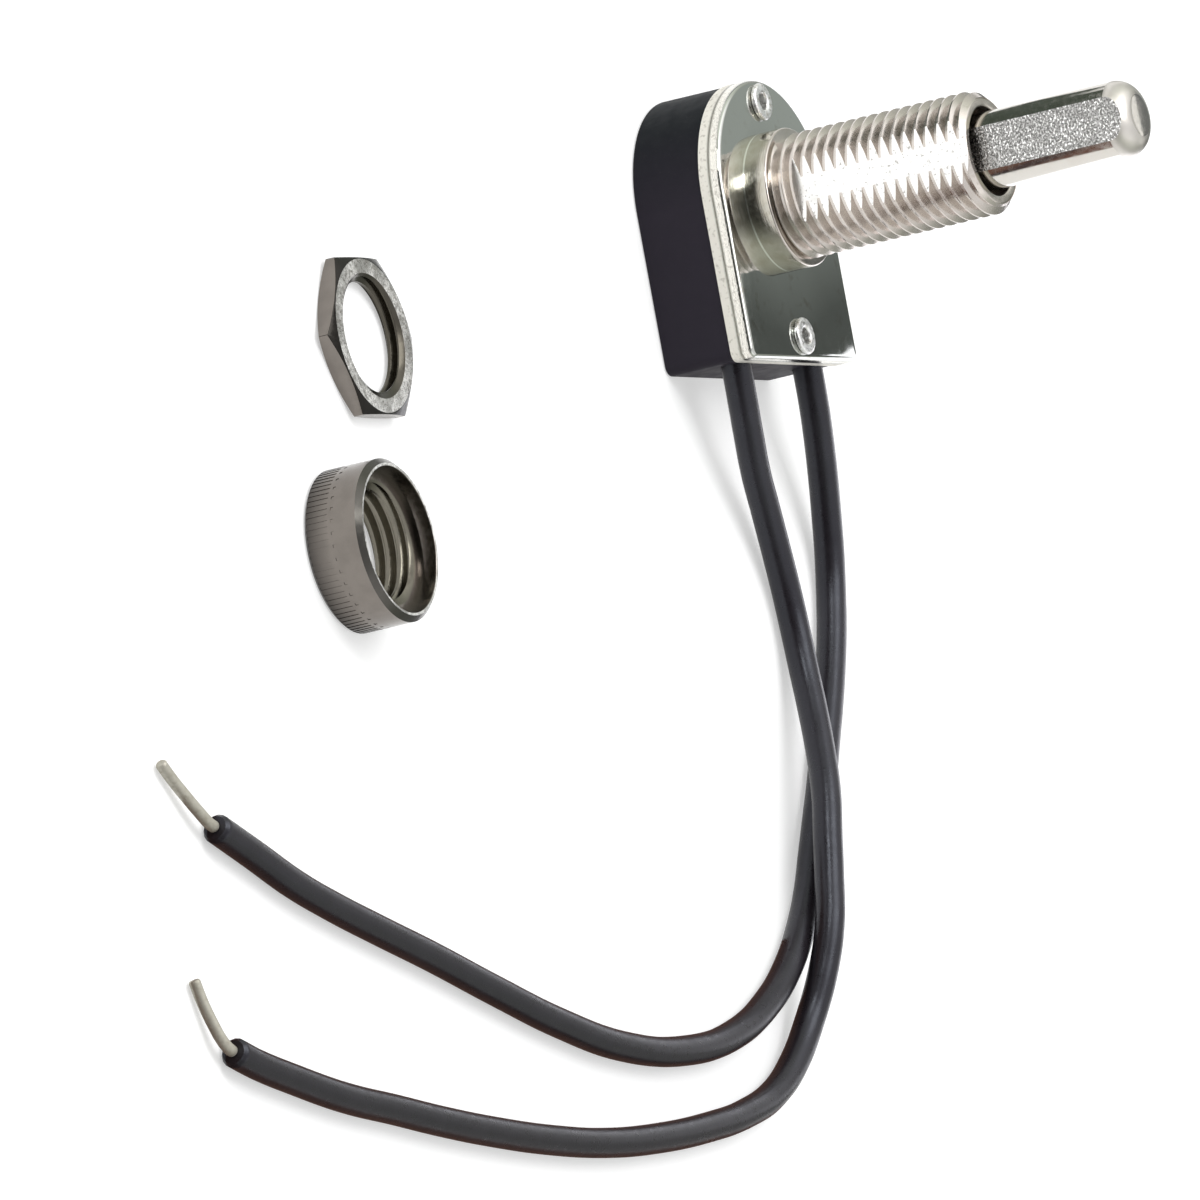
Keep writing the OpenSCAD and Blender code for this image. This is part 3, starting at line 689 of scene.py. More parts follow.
def plate_edge(colour):
    """Side of the plate: dull at the back, bright at the front, and a dark line between."""
    finish = Finish("plate_edge", colour, metallic=1, roughness=0.3)
    border = PLATE[0].z + 0.8 * MM
    blur, line = 0.08 * MM, 0.22 * MM
    above = finish.spread(finish.height(), border - blur, border + blur, 0, 1)
    below = finish.spread(finish.height(), border + line - blur, border + line + blur, 1, 0)
    finish.tint(finish.combined("MULTIPLY", above, below), (0.2, 0.2, 0.17, 1))
    finish.mottle(size=0.3, band=(0.55, 0.7), share=0.6, colour=(0.42, 0.39, 0.34, 1))
    finish.gloss(finish.spread(finish.height(), border - blur, border + blur, 0.6, 0.14))
    finish.grain(size=0.14, depth=0.03, detail=4, stretch=(0.5, 0.5, 1.5))
    return finish.material


def turned_nickel(name, colour, worn, roughness):
    """Plated turned brass, with fine rings from the tool and worn patches."""
    finish = Finish(name, colour, metallic=1, roughness=0.2)
    finish.mottle(size=1.6, band=(0.45, 0.75), share=0.4, colour=worn)
    finish.sheen(size=0.5, roughness=roughness)
    finish.grain(size=0.1, depth=0.0012, stretch=(0.3, 0.3, 1.6))
    return finish.material


def turned_collar(colour):
    """Collar of the bushing, with rings from the tool and a painted highlight along its foot."""
    finish = Finish("turned_collar", colour, metallic=1, roughness=0.2)
    finish.mottle(size=1.2, band=(0.42, 0.7), share=0.6, colour=(0.4, 0.36, 0.28, 1))
    foot = PLATE[1].z
    # Painted highlight: a near-white line along the collar's foot, where it meets the plate.
    line = finish.spread(finish.height(), foot + 0.05 * MM, foot + 0.11 * MM, 1, 0)
    finish.tint(line, (0.95, 0.95, 0.9, 1))
    finish.sheen(size=0.5, roughness=(0.1, 0.22))
    finish.grain(size=0.06, depth=0.006, detail=2, stretch=(0.04, 0.04, 1))
    return finish.material


def rubbed_tip(colour):
    """Rounded end of the plunger, rubbed dull by fingers."""
    finish = Finish("rubbed_tip", colour, metallic=1, roughness=0.36)
    finish.mottle(size=1.2, band=(0.45, 0.75), share=0.4, colour=PLUNGER_WORN)
    finish.sheen(size=0.4, roughness=(0.3, 0.42))
    return finish.material


def milled_flat(colour):
    """Flat of the bushing, with the small marks of the cutter."""
    finish = Finish("milled_flat", colour, metallic=1, roughness=0.3)
    finish.mottle(size=0.28, band=(0.62, 0.7), share=0.75, colour=(0.3, 0.28, 0.26, 1), detail=5)
    finish.sheen(size=0.6, roughness=(0.24, 0.45))
    finish.grain(size=0.16, depth=0.006, detail=4, stretch=(1, 0.5, 1))
    return finish.material


def scratched_flat(colour):
    """Flat of the plunger, scratched all over, with painted glints."""
    finish = Finish("scratched_flat", colour, metallic=1, roughness=0.2)
    finish.mottle(size=1.4, band=(0.4, 0.7), share=0.65, colour=(0.32, 0.315, 0.305, 1), detail=3)
    finish.mottle(size=0.14, band=(0.46, 0.55), share=0.85, colour=(0.12, 0.118, 0.112, 1), detail=8)
    # Painted glints: white specks in the colour stand in for scratches catching the light.
    painted_glints = finish.patches(size=0.16, band=(0.55, 0.6), detail=8, stretch=(1, 0.7, 1))
    clouds = finish.patches(size=2, band=(0.35, 0.5), span=(0.35, 1), detail=2)
    finish.tint(finish.combined("MULTIPLY", painted_glints, clouds), (1, 0.99, 0.98, 1))
    finish.sheen(size=0.2, roughness=(0.06, 0.3), band=(0.35, 0.65))
    finish.grain(size=0.2, depth=0.06, detail=4)
    finish.grain(size=0.2, depth=0.02, detail=2, stretch=(1, 1, 0.15))
    return finish.material


def dull_nickel(name, colour, painted_shade_to=None):
    """Plating of the nuts. Painted shade may darken it from that height down to their backs, which lie on
    the floor.
    """
    finish = Finish(name, colour, metallic=1, roughness=0.2)
    darker = (*(0.75 * part for part in colour[:3]), 1)
    finish.mottle(size=1.3, band=(0.4, 0.72), share=0.5, colour=darker)
    # Painted shade: darker from that height down to the back, which lies on the floor.
    if painted_shade_to:
        painted_shade = finish.spread(finish.height(), 0.2 * MM, painted_shade_to, 0.85, 0)
        finish.tint(painted_shade, (0.05, 0.046, 0.043, 1))
    finish.sheen(size=0.4, roughness=(0.12, 0.26))
    finish.grain(size=0.1, depth=0.002)
    return finish.material


def bright_ring(colour):
    """Turned faces of the nuts, brighter than the rest and finely pitted."""
    finish = Finish("bright_ring", colour, metallic=1, roughness=0.4)
    finish.mottle(size=2.5, band=(0.42, 0.62), share=0.75, colour=(0.3, 0.3, 0.28, 1), detail=2)
    finish.mottle(size=0.35, band=(0.44, 0.64), share=0.8, colour=(0.3, 0.29, 0.27, 1))
    finish.sheen(size=0.2, roughness=(0.2, 0.45), band=(0.35, 0.65), detail=3)
    finish.grain(size=0.16, depth=0.05, detail=4)
    return finish.material


def rivet_nickel(colour):
    """Plating of the rivets, marked by the tool that rolled them."""
    finish = Finish("rivet_nickel", colour, metallic=1, roughness=0.3)
    finish.mottle(size=0.4, band=(0.5, 0.7), share=0.6, colour=(0.42, 0.38, 0.32, 1))
    finish.sheen(size=0.25, roughness=(0.22, 0.5), band=(0.35, 0.65), detail=3)
    finish.grain(size=0.15, depth=0.02, detail=4)
    return finish.material


def satin_vinyl(colour):
    """Insulation of the leads."""
    finish = Finish("satin_vinyl", colour, metallic=0, roughness=0.4)
    finish.fix("Specular IOR Level", 0.42)
    finish.fix("Specular Tint", (0.82, 0.88, 1, 1))
    finish.mottle(size=2.5, band=(0.4, 0.75), share=0.5, colour=(0.02, 0.017, 0.021, 1), detail=3)
    finish.sheen(size=0.9, roughness=(0.25, 0.36))
    finish.grain(size=0.2, depth=0.012, detail=4)
    return finish.material


def tinned_copper(colour):
    """Dull tin of the bare strands."""
    finish = Finish("tinned_copper", colour, metallic=0.7, roughness=0.6)
    finish.mottle(size=0.6, band=(0.45, 0.7), share=0.6, colour=(0.36, 0.33, 0.27, 1), detail=3)
    finish.sheen(size=0.3, roughness=(0.52, 0.72), detail=3)
    finish.grain(size=0.18, depth=0.01)
    return finish.material


def inner_finish(name, colour, metallic, roughness, mottle, grain):
    """Finish of a piece inside the housing: a slight mottle and a fine grain."""
    finish = Finish(name, colour, metallic, roughness)
    finish.mottle(size=1.5, band=(0.4, 0.7), share=0.6, colour=mottle)
    finish.sheen(size=0.5, roughness=(0.8 * roughness, 1.25 * roughness), detail=3)
    finish.grain(size=0.12, depth=grain)
    return finish.material


# Pieces


class SWITCH_OT_housing(bpy.types.Operator):
    """Model the moulded housing with its pocket, channels and rivet holes"""

    bl_idname = "switch.housing"
    bl_label = "Housing"

    def execute(self, context):
        over = HOUSING[1].z + PAST
        piece = outlined("moulded_housing", HOUSING)
        round_edges(piece, HOUSING[0].z, context.scene.switch_sizes.housing_round, segments=4)
        cuts = [
            rod("pocket", POCKET_R, FLOOR_T, over),
            rod("ledge", DISC[1].x + PLAY, DISC[0].z, over),
            block("pads", (-EXIT_X, -PAD_HALF, FLOOR_T), (EXIT_X, PAD_HALF, over)),
        ]
        half = LEAD_R + PLAY
        inside = EXIT_Y + LEAD_IN * MM
        for x in (-EXIT_X, EXIT_X):
            cuts.append(block("channel", (x - half, inside, FLOOR_T), (x + half, PAD_HALF, over)))
            cuts.append(block("slot", (x - half, EXIT_Y - PAST, LEAD_Z), (x + half, inside + LAP, over)))
            cuts.append(self.lead_hole(x, half))
        for y in RIVET_YS.values():
            cuts.append(rod("rivet_hole", RIVET_HOLE_R, -PAST, over, (0, y)))
            cuts.append(rod("rivet_sink", RIVET_SINK_R, -PAST, RIVET_SINK, (0, y)))
        for cut in cuts:
            combine(piece, cut, "DIFFERENCE")
        combine(piece, rod("pin", PIN_R, FLOOR_T - SINK, PIN_TOP), "UNION")
        smooth(piece)
        dress(piece, "switch_body", "housing_plastic", ["housing"],
              moulded_plastic(context.scene.switch_colours.housing))
        return {"FINISHED"}

    def lead_hole(self, x, radius):
        """Cutter for the round hole that grips a lead."""
        hole = rod("hole", radius, -PAST, LEAD_IN * MM + LAP)
        edit(hole)
        bpy.ops.transform.rotate(value=math.radians(90), orient_axis="X", center_override=(0, 0, 0))
        leave()
        low = min(v.co.y for v in hole.data.vertices)
        place(hole, (x, EXIT_Y - PAST - low, LEAD_Z))
        return hole


class SWITCH_OT_plate(bpy.types.Operator):
    """Model the polished front plate with its soft front edge"""

    bl_idname = "switch.plate"
    bl_label = "Front plate"

    def execute(self, context):
        sizes, colours = context.scene.switch_sizes, context.scene.switch_colours
        below, over = PLATE[0].z - PAST, PLATE[1].z + PAST
        piece = outlined("polished_plate", PLATE)
        round_edges(piece, PLATE[1].z, sizes.plate_round, segments=5)
        combine(piece, rod("spigot_hole", SPIGOT_R, below, over, sides=96), "DIFFERENCE")
        for y in RIVET_YS.values():
            combine(piece, rod("rivet_hole", RIVET_HOLE_R, below, over, (0, y)), "DIFFERENCE")
        smooth(piece)
        dress(piece, "switch_body", "plate_nickel", ["front_plate"],
              polished_nickel(colours.plate), plate_edge(EDGE_TONE))
        paint(piece, 1, lambda face: abs(face.normal.z) < SIDE_RISE)
        return {"FINISHED"}


def thread_ridge(name, sizes, low, turns):
    """Helical ridge of the thread, with its base sunk into the core."""
    base = THREAD_R - sizes.thread_depth - THREAD_SINK
    crest = sizes.crest / 2
    foot = crest + (THREAD_R - base) * math.tan(THREAD_FLANK)
    piece = wire_outline(name, [
        (base, low - foot), (THREAD_R, low - crest), (THREAD_R, low + crest), (base, low + foot),
        (base, low - foot),
    ])
    return screwed(piece, sizes.pitch, turns, steps=72)


class SWITCH_OT_bushing(bpy.types.Operator):
    """Model the bushing with its collar, thread, flat and bore"""

    bl_idname = "switch.bushing"
    bl_label = "Bushing"

    def execute(self, context):
        sizes, colours = context.scene.switch_sizes, context.scene.switch_colours
        low, top, foot = BUSHING[0].z, BUSHING[1].z, PLATE[1].z
        root = THREAD_R - sizes.thread_depth
        end_r = THREAD_R - END_BEVEL
        lip = BUSHING_LIP
        collar_edge = COLLAR_TOP - lip
        piece = turned("threaded_bushing", [
            (CHAMBER_R, low), (SPIGOT_R, low), (SPIGOT_R, foot), (COLLAR_R, foot),
            *arc((COLLAR_R - lip, collar_edge), lip, 0, 90, 4),
            (root, COLLAR_TOP), (root, top - root + end_r),
            *arc((end_r - lip, top - lip), lip, 45, 90, 3),
            *arc((MOUTH_R + lip, top - lip), lip, 90, 180, 4),
            (MOUTH_R, MOUTH_BOTTOM), (GUIDE_R, MOUTH_BOTTOM),
            (GUIDE_R, GUIDE_BOTTOM), (CHAMBER_R, GUIDE_BOTTOM),
        ], steps=144)
        turns = math.ceil((top - COLLAR_TOP) / sizes.pitch) + 1
        ridge = thread_ridge("ridge", sizes, THREAD_START, turns)
        inner, outer = root - SINK, THREAD_R + PAST
        envelope = turned("envelope", [
            (inner, collar_edge), (outer, collar_edge), (outer, top - END_BEVEL - PAST),
            (end_r, top), (inner, top),
        ], steps=144)
        combine(ridge, envelope, "INTERSECT")
        combine(piece, ridge, "UNION")
        mill_flat(piece, THREAD_R, THREAD_FLAT_X, FLAT_BOTTOM, top)
        smooth(piece)
        dress(piece, "switch_body", "bushing_nickel", ["bushing"],
              turned_nickel("turned_nickel", colours.bushing, BUSHING_WORN, roughness=(0.15, 0.27)),
              milled_flat(MILLED_TONE), turned_collar(COLLAR_TONE))
        paint(piece, 1, lambda face: on_flat(face, THREAD_FLAT_X))
        paint(piece, 2, lambda face: foot < face.center.z < collar_edge
              and face.center.xy.length > THREAD_R)
        return {"FINISHED"}


class SWITCH_OT_plunger(bpy.types.Operator):
    """Model the plunger with its rounded end, flat, flange and stem"""

    bl_idname = "switch.plunger"
    bl_label = "Plunger"

    def execute(self, context):
        colours = context.scene.switch_colours
        low, top = PLUNGER[0].z, PLUNGER[1].z
        edge = PLUNGER_EDGE
        piece = turned("round_plunger", [
            (0, low), (STEM_R - edge, low), (STEM_R, low + edge), (STEM_R, FLANGE_LOW),
            (FLANGE_R - edge, FLANGE_LOW), (FLANGE_R, FLANGE_LOW + edge), (FLANGE_R, FLANGE_TOP - edge),
            (FLANGE_R - edge, FLANGE_TOP), (PLUNGER_R, FLANGE_TOP),
            *arc((PLUNGER_R - TIP_R, top - TIP_R), TIP_R, 0, 90, 14), (0, top),
        ], steps=128)
        mill_flat(piece, PLUNGER_R, PLUNGER_FLAT_X, PLUNGER_FLAT_BOTTOM, top)
        smooth(piece, degrees=24)
        dress(piece, "button", "plunger_nickel", ["plunger"],
              turned_nickel("plunger_nickel", colours.plunger, PLUNGER_WORN, roughness=(0.07, 0.18)),
              scratched_flat(SCRATCHED_TONE), rubbed_tip(colours.plunger))
        paint(piece, 2, lambda face: face.center.z > top - TIP_R and face.normal.z < TIP_RISE)
        paint(piece, 1, lambda face: on_flat(face, PLUNGER_FLAT_X))
        return {"FINISHED"}


class SWITCH_OT_rivets(bpy.types.Operator):
    """Model one tubular rivet and copy it to the other end of the plate"""

    bl_idname = "switch.rivets"
    bl_label = "Rivets"

    def execute(self, context):
        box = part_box("top_rivet")
        back, top = box[0].z, box[1].z
        seat = PLATE[1].z
        head_r = box[1].x
        roll = (top - seat) / 2
        first = turned("rolled_rivet_top", [
            (TUBE_R, back), (head_r - FLARE_EDGE, back), (head_r, back + FLARE_EDGE), (head_r, FLARE_TOP),
            (SHANK_R, FLARE_TOP), (SHANK_R, seat), (head_r - roll, seat),
            *arc((head_r - roll, seat + roll), roll, -90, 90, 8),
            *arc((TUBE_R + roll, seat + roll), roll, 90, 180, 6),
        ], steps=56)
        activate(first)
        bpy.ops.object.duplicate()
        second = named("rolled_rivet_bottom")
        finish = rivet_nickel(RIVET_TONE)
        for piece, node in ((first, "top_rivet"), (second, "bottom_rivet")):
            place(piece, (0, RIVET_YS[node], 0))
            smooth(piece)
            dress(piece, "switch_body", "rivet_nickel", [node], finish)
        return {"FINISHED"}


class SWITCH_OT_spring(bpy.types.Operator):
    """Model the return spring that the plunger presses together"""

    bl_idname = "switch.spring"
    bl_label = "Return spring"

    def execute(self, context):
        wire = SPRING_WIRE / 2
        low, high = SPRING[0].z, SPRING[1].z
        piece = wire_outline("coil_spring", arc((SPRING_R, low + wire), wire, 0, 360, 12))
        screwed(piece, (high - low - SPRING_WIRE) / SPRING_TURNS, SPRING_TURNS, steps=36)
        smooth(piece, degrees=60)
        steel = inner_finish("spring_steel", (0.4, 0.4, 0.38, 1), metallic=1, roughness=0.3,
                             mottle=(0.3, 0.29, 0.27, 1), grain=0.004)
        dress(piece, "switch_body", "spring_steel", ["return_spring"], steel)
        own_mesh(piece)
        return {"FINISHED"}


class SWITCH_OT_nuts(bpy.types.Operator):
    """Model the hexagon nut and the knurled round nut with their threads"""

    bl_idname = "switch.nuts"
    bl_label = "Mounting nuts"

    def execute(self, context):
        sizes, colours = context.scene.switch_sizes, context.scene.switch_colours
        bright = bright_ring(NUT_TOP_TONE)
        # Painted shade: darker copies of the plating on the bevels of both nuts and in the hexagon nut's
        # bore.
        self.finish_nut(sizes, self.hexagon(), HEX_NUT, "hex_nut", (
            dull_nickel("dull_nickel", colours.nut), bright,
            dull_nickel("hexagon_bevel_painted_shade", HEX_BEVEL_PAINTED_SHADE), dull_nickel("hexagon_thread_painted_shade", HEX_THREAD_PAINTED_SHADE)))
        self.finish_nut(sizes, self.knurled(sizes), ROUND_NUT, "round_nut", (
            dull_nickel("knurled_nickel", colours.nut, KNURL_TOP), bright,
            dull_nickel("round_bevel_painted_shade", ROUND_BEVEL_PAINTED_SHADE), dull_nickel("round_thread", ROUND_THREAD_TONE)))
        return {"FINISHED"}

    def finish_nut(self, sizes, piece, box, node, finishes):
        """Tap a nut, put it in its place and give its faces their finishes."""
        top = box[1].z
        turns = math.ceil(top / sizes.pitch) + 2
        combine(piece, thread_ridge("tap", sizes, -sizes.pitch, turns), "DIFFERENCE")
        smooth(piece)
        middle = (box[0] + box[1]) / 2
        place(piece, (middle.x, middle.y, 0))
        dress(piece, "switch_body", "nut_nickel", [node], *finishes)
        bevel_r = (box[1].y - box[0].y) / 2 - BEVEL_BAND

        def out(face):
            return (face.center.xy - middle.xy).length

        paint(piece, 1, lambda face: face.normal.z > TOP_RISE and face.center.z > top - FACE_DEPTH)
        # Painted shade: the bevels get slot 2, and the hexagon nut's bore gets slot 3.
        paint(piece, 2, lambda face: BEVEL_RISES[0] < face.normal.z < BEVEL_RISES[1]
              and face.center.z > top / 2 and out(face) > bevel_r)
        paint(piece, 3, lambda face: abs(face.normal.z) < THREAD_RISE and out(face) < THREAD_R)

    def hexagon(self):
        """Hexagon nut with turned corners, before its thread."""
        thick = HEX_NUT[1].z
        half = (HEX_NUT[1].y - HEX_NUT[0].y) / 2
        corner = half / math.cos(math.radians(30))
        face = half - HEX_FACE_IN
        deselect()
        bpy.ops.mesh.primitive_cylinder_add(vertices=6, radius=corner, depth=thick)
        piece = named("hexagon_nut")
        edit(piece)
        bpy.ops.transform.rotate(value=math.radians(30), orient_axis="Z", center_override=(0, 0, 0))
        bpy.ops.transform.translate(value=(0, 0, thick / 2))
        leave()
        wide = corner + HEX_SPARE
        corners = turned("corners", [
            (NUT_MOUTH_R, 0), (face, 0), (wide, HEX_TURN), (wide, thick - HEX_TURN), (face, thick),
            (NUT_MOUTH_R, thick), (NUT_BORE_R, thick - NUT_SINK), (NUT_BORE_R, NUT_SINK),
        ], steps=96)
        combine(piece, corners, "INTERSECT")
        activate(piece)
        soften = piece.modifiers.new("soften", "BEVEL")
        soften.width = HEX_SOFT
        soften.segments = 3
        soften.limit_method = "ANGLE"
        soften.angle_limit = math.radians(15)
        bpy.ops.object.modifier_apply(modifier=soften.name)
        return piece

    def knurled(self, sizes):
        """Round nut with its knurl and its row of dashes, before its thread."""
        high = ROUND_NUT[1].z
        r = (ROUND_NUT[1].x - ROUND_NUT[0].x) / 2
        inner = r - ROUND_NUT_RIM
        steps = 2 * sizes.knurls
        piece = turned("knurled_nut", [
            (NUT_MOUTH_R, 0), (r - ROUND_EDGE, 0), (r, ROUND_EDGE), (r, KNURL_TOP), (r, DASH_LOW),
            (r, DASH_HIGH), (r, high - ROUND_BEVEL), (r - ROUND_BEVEL, high),
            *arc((inner + ROUND_LIP, high - ROUND_LIP), ROUND_LIP, 90, 180, 3),
            (inner, ROUND_NUT_SEAT), (NUT_MOUTH_R, ROUND_NUT_SEAT), (NUT_BORE_R, ROUND_NUT_SEAT - NUT_SINK),
            (NUT_BORE_R, NUT_SINK),
        ], steps)
        step = TURN / steps

        def notch(face):
            middle = face.calc_center_median()
            if math.hypot(middle.x, middle.y) < r - ROUND_SKIN:
                return False
            count = int(math.atan2(middle.y, middle.x) % TURN / step)
            knurl = ROUND_EDGE < middle.z < KNURL_TOP and count % 2 == 0
            dash = DASH_LOW < middle.z < DASH_HIGH and count % 4 == 0
            return knurl or dash

        edit(piece)
        pick(piece, "FACE", notch)
        inwards = 1 - sizes.knurl_depth / r
        bpy.ops.mesh.extrude_region_move(TRANSFORM_OT_translate={"value": (0, 0, 0)})
        bpy.ops.transform.resize(value=(inwards, inwards, 1), center_override=(0, 0, 0))
        close_skin()
        leave()
        return piece


def route_points(side, route):
    """Route points in metres, from a lead's exit."""
    return [Vector((side * EXIT_X + x * MM, EXIT_Y + y * MM, z * MM)) for x, y, z in route]


def laid_wire(name, runs, radius, drawn_in):
    """Round wire through each run of points, with its ends drawn in."""
    data = bpy.data.curves.new(name, "CURVE")
    data.dimensions = "3D"
    data.resolution_u = 8
    data.bevel_depth = radius
    data.bevel_resolution = 6
    data.use_fill_caps = True
    for run in runs:
        start = run[0] + (run[1] - run[0]).normalized() * drawn_in
        end = run[-1] + (run[-2] - run[-1]).normalized() * drawn_in
        run = [run[0], start, *run[1:-1], end, run[-1]]
        spline = data.splines.new("BEZIER")
        spline.bezier_points.add(len(run) - 1)
        for knot, at in zip(spline.bezier_points, run):
            knot.co = at
            knot.handle_left_type = knot.handle_right_type = "AUTO"
        spline.bezier_points[0].radius = spline.bezier_points[-1].radius = END_SHARE
    piece = bpy.data.objects.new(name, data)
    bpy.context.collection.objects.link(piece)
    return piece


class SWITCH_OT_leads(bpy.types.Operator):
    """Lay the two insulated leads and their tinned strands"""

    bl_idname = "switch.leads"
    bl_label = "Leads"

    def execute(self, context):
        colours = context.scene.switch_colours
        vinyl, tin = satin_vinyl(colours.lead), tinned_copper(colours.strand)
        for word, side, route, bare in (
            ("left", -1, LEFT_ROUTE, LEFT_BARE),
            ("right", 1, RIGHT_ROUTE, RIGHT_BARE),
        ):
            run = route_points(side, route)
            tip = run[-1]
            strand = laid_wire(f"{word}_tinned_strand", [
                [tip + Vector(p) * MM for p in bare],
                [Vector((side * EXIT_X, run[0].y, LEAD_Z)), Vector((side * EXIT_X, CRIMP_Y, LEAD_Z))],
            ], STRAND_R, STRAND_END)
            activate(strand)
            bpy.ops.object.convert(target="MESH")
            strand = named(f"{word}_tinned_strand")
            smooth(strand, degrees=50)
            dress(strand, "switch_body", "strand_tin", [f"{word}_strand"], tin)
            lead = laid_wire(f"{word}_insulated_lead", [run], LEAD_R, LEAD_END)
            dress(lead, "switch_body", "lead_vinyl", [f"{word}_lead"], vinyl)
        return {"FINISHED"}


class SWITCH_OT_inner(bpy.types.Operator):
    """Finish the pieces of the ratchet and the contacts inside the housing"""

    bl_idname = "switch.inner"
    bl_label = "Inner pieces"

    def execute(self, context):
        for name, colour, metallic, roughness, mottle, grain, nodes in INNER_FINISHES:
            finish = inner_finish(name, colour, metallic, roughness, mottle, grain)
            for node in nodes:
                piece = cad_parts[node]
                piece.data.materials.clear()
                piece.data.materials.append(finish)
        return {"FINISHED"}


# Studio


def studio_floor(colour):
    """Pale floor that shows white to the camera and in reflections, and keeps the shadows."""
    material = bpy.data.materials.new("studio_floor")
    graph = Graph(material)
    graph.nodes.clear()
    rays = graph.add("LightPath").outputs
    shown = rays["Is Camera Ray"]
    for kind in ("Is Glossy Ray", "Is Transmission Ray"):
        shown = graph.combined("MAXIMUM", shown, rays[kind])
    diffuse = graph.add("BsdfDiffuse", {"Color": colour})
    glow = graph.add("Emission", {"Strength": graph.combined("MULTIPLY", shown, FLOOR_GLOW)})
    both = graph.add("AddShader", {0: diffuse.outputs[0], 1: glow.outputs[0]})
    graph.add("OutputMaterial", {"Surface": both.outputs[0]})
    return material


def studio_card(name, low, high, glow, fade):
    """Flat card that only reflections show."""
    low, high = Vector(low) * MM, Vector(high) * MM
    deselect()
    bpy.ops.mesh.primitive_plane_add(size=1)
    card = named(name)
    edit(card)
    span = high - low
    if span.x == 0:
        bpy.ops.transform.rotate(value=math.radians(90), orient_axis="Y", center_override=(0, 0, 0))
    bpy.ops.transform.resize(value=[side or 1 for side in span])
    bpy.ops.transform.translate(value=(low + high) / 2)
    leave()
    material = bpy.data.materials.new(name)
    graph = Graph(material)
    graph.nodes.clear()
    light = {"Color": (*glow, 1)}
    if fade:
        y = graph.along(graph.add("TexCoord").outputs["Object"], "Y")
        light["Strength"] = graph.spread(y, fade[0] * MM, fade[1] * MM, DIM_END, 1)
    graph.add("OutputMaterial", {"Surface": graph.add("Emission", light).outputs[0]})
    card.data.materials.append(material)
    card.visible_camera = card.visible_diffuse = card.visible_shadow = card.visible_transmission = False


def studio_world():
    """Soft room: bright above, grey at the sides, and white behind everything for the camera."""
    world = bpy.data.worlds.new("studio_room")
    graph = Graph(world)
    graph.nodes.clear()
    where = graph.add("TexCoord").outputs["Generated"]
    (front, front_strength), (back, back_strength) = ROOM_FRONT, ROOM_BACK
    depth = graph.spread(graph.along(where, "X"), front, back, front_strength, back_strength)
    across = graph.spread(graph.along(where, "Y"), -1, 1, 0, 1)
    sides = graph.ramp(across, [(stop, 3 * (strength,)) for stop, strength in ROOM_SIDES])
    room = graph.add("Background", {
        "Color": graph.ramp(graph.along(where, "Z"), ROOM_COLOURS),
        "Strength": graph.combined("MULTIPLY", depth, sides),
    })
    white = graph.add("Background", {"Color": (1, 1, 1, 1)})
    seen = graph.add("LightPath").outputs["Is Camera Ray"]
    mix = graph.add("MixShader", {"Fac": seen, 1: room.outputs[0], 2: white.outputs[0]})
    graph.add("OutputWorld", {"Surface": mix.outputs[0]})
    return world


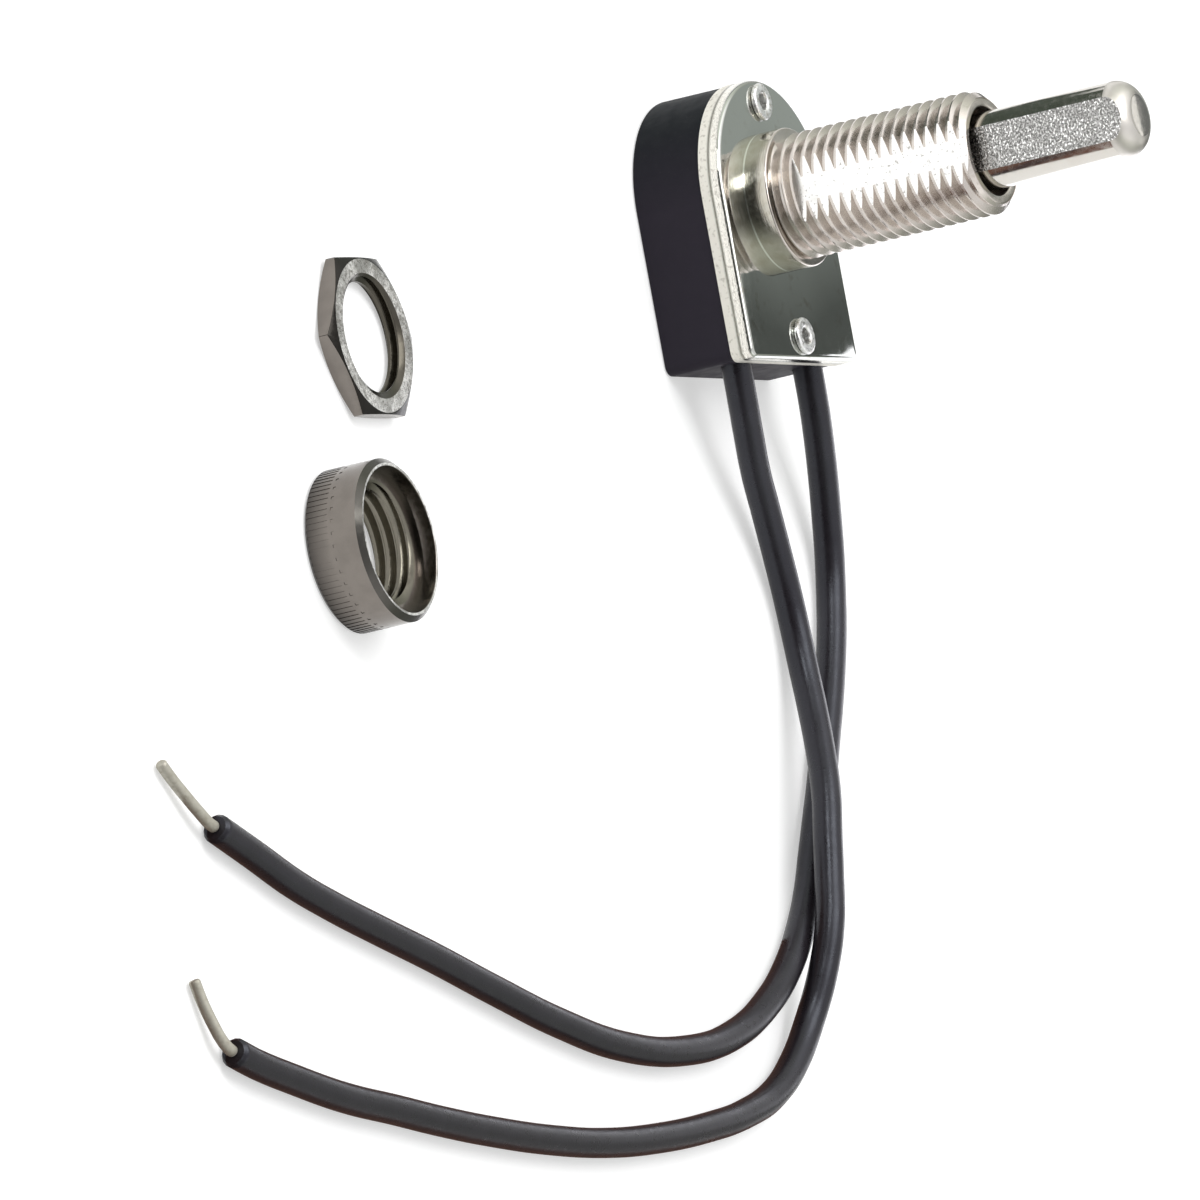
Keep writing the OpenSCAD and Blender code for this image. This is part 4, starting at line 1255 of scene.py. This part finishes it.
class SWITCH_OT_stage(bpy.types.Operator):
    """Set up the floor, the studio light and the camera"""

    bl_idname = "switch.stage"
    bl_label = "Stage"

    def execute(self, context):
        scene = context.scene
        deselect()
        bpy.ops.mesh.primitive_plane_add(size=FLOOR_WIDTH, location=(0, 0, -FLOOR_DROP))
        floor = named("studio_floor")
        floor.data.materials.append(studio_floor(scene.switch_colours.floor))
        scene.world = studio_world()
        for name, low, high, glow, fade in CARDS:
            studio_card(name, low, high, glow, fade)
        for name, at, size, power in SOFTBOXES:
            bpy.ops.object.light_add(type="AREA", location=at)
            lamp = named(name)
            lamp.data.shape = "SQUARE"
            lamp.data.size = size
            lamp.data.energy = power
            aim = PICTURE_MIDDLE - Vector(at)
            lamp.rotation_euler = aim.to_track_quat("-Z", "Y").to_euler()
        back = PICTURE_RIGHT.cross(PICTURE_UP).normalized()
        right = PICTURE_RIGHT.normalized()
        up = back.cross(right)
        lens = scene.switch_sizes.lens
        bpy.ops.object.camera_add()
        camera = named("photo_view")
        camera.data.sensor_width = SENSOR_MM
        camera.data.lens = lens
        away = lens * PICTURE_WIDTH / SENSOR_MM - PLATE_BEHIND
        turn = Matrix((right, up, back)).transposed().to_4x4()
        camera.matrix_world = Matrix.Translation(PICTURE_MIDDLE + back * away) @ turn
        camera.data.clip_start = VIEW_NEAR
        camera.data.clip_end = VIEW_FAR
        scene.camera = camera
        scene.view_settings.view_transform = "Standard"
        return {"FINISHED"}


STEPS = (
    SWITCH_OT_stage, SWITCH_OT_leads, SWITCH_OT_housing, SWITCH_OT_plate, SWITCH_OT_bushing,
    SWITCH_OT_plunger, SWITCH_OT_rivets, SWITCH_OT_spring, SWITCH_OT_nuts, SWITCH_OT_inner,
)


class SWITCH_PT_panel(bpy.types.Panel):
    """Lists the steps and the sizes and colours they use"""

    bl_idname = "SWITCH_PT_panel"
    bl_label = "Pushbutton switch"
    bl_space_type = "VIEW_3D"
    bl_region_type = "UI"
    bl_category = "Switch"

    def draw(self, context):
        for group in (context.scene.switch_sizes, context.scene.switch_colours):
            box = self.layout.box()
            for key in group.bl_rna.properties.keys():
                if key not in {"rna_type", "name"}:
                    box.prop(group, key)
        for step in STEPS:
            self.layout.operator(step.bl_idname)


CLASSES = (SwitchSizes, SwitchColours, *STEPS, SWITCH_PT_panel)


def register():
    for cls in CLASSES:
        bpy.utils.register_class(cls)
    bpy.types.Scene.switch_sizes = PointerProperty(type=SwitchSizes)
    bpy.types.Scene.switch_colours = PointerProperty(type=SwitchColours)


def unregister():
    del bpy.types.Scene.switch_colours
    del bpy.types.Scene.switch_sizes
    for cls in reversed(CLASSES):
        bpy.utils.unregister_class(cls)


def main():
    register()
    bpy.ops.switch.stage()
    bpy.ops.switch.leads()
    bpy.ops.switch.housing()
    bpy.ops.switch.plate()
    bpy.ops.switch.bushing()
    bpy.ops.switch.plunger()
    bpy.ops.switch.rivets()
    bpy.ops.switch.spring()
    bpy.ops.switch.nuts()
    bpy.ops.switch.inner()


if __name__ == "__main__":
    main()
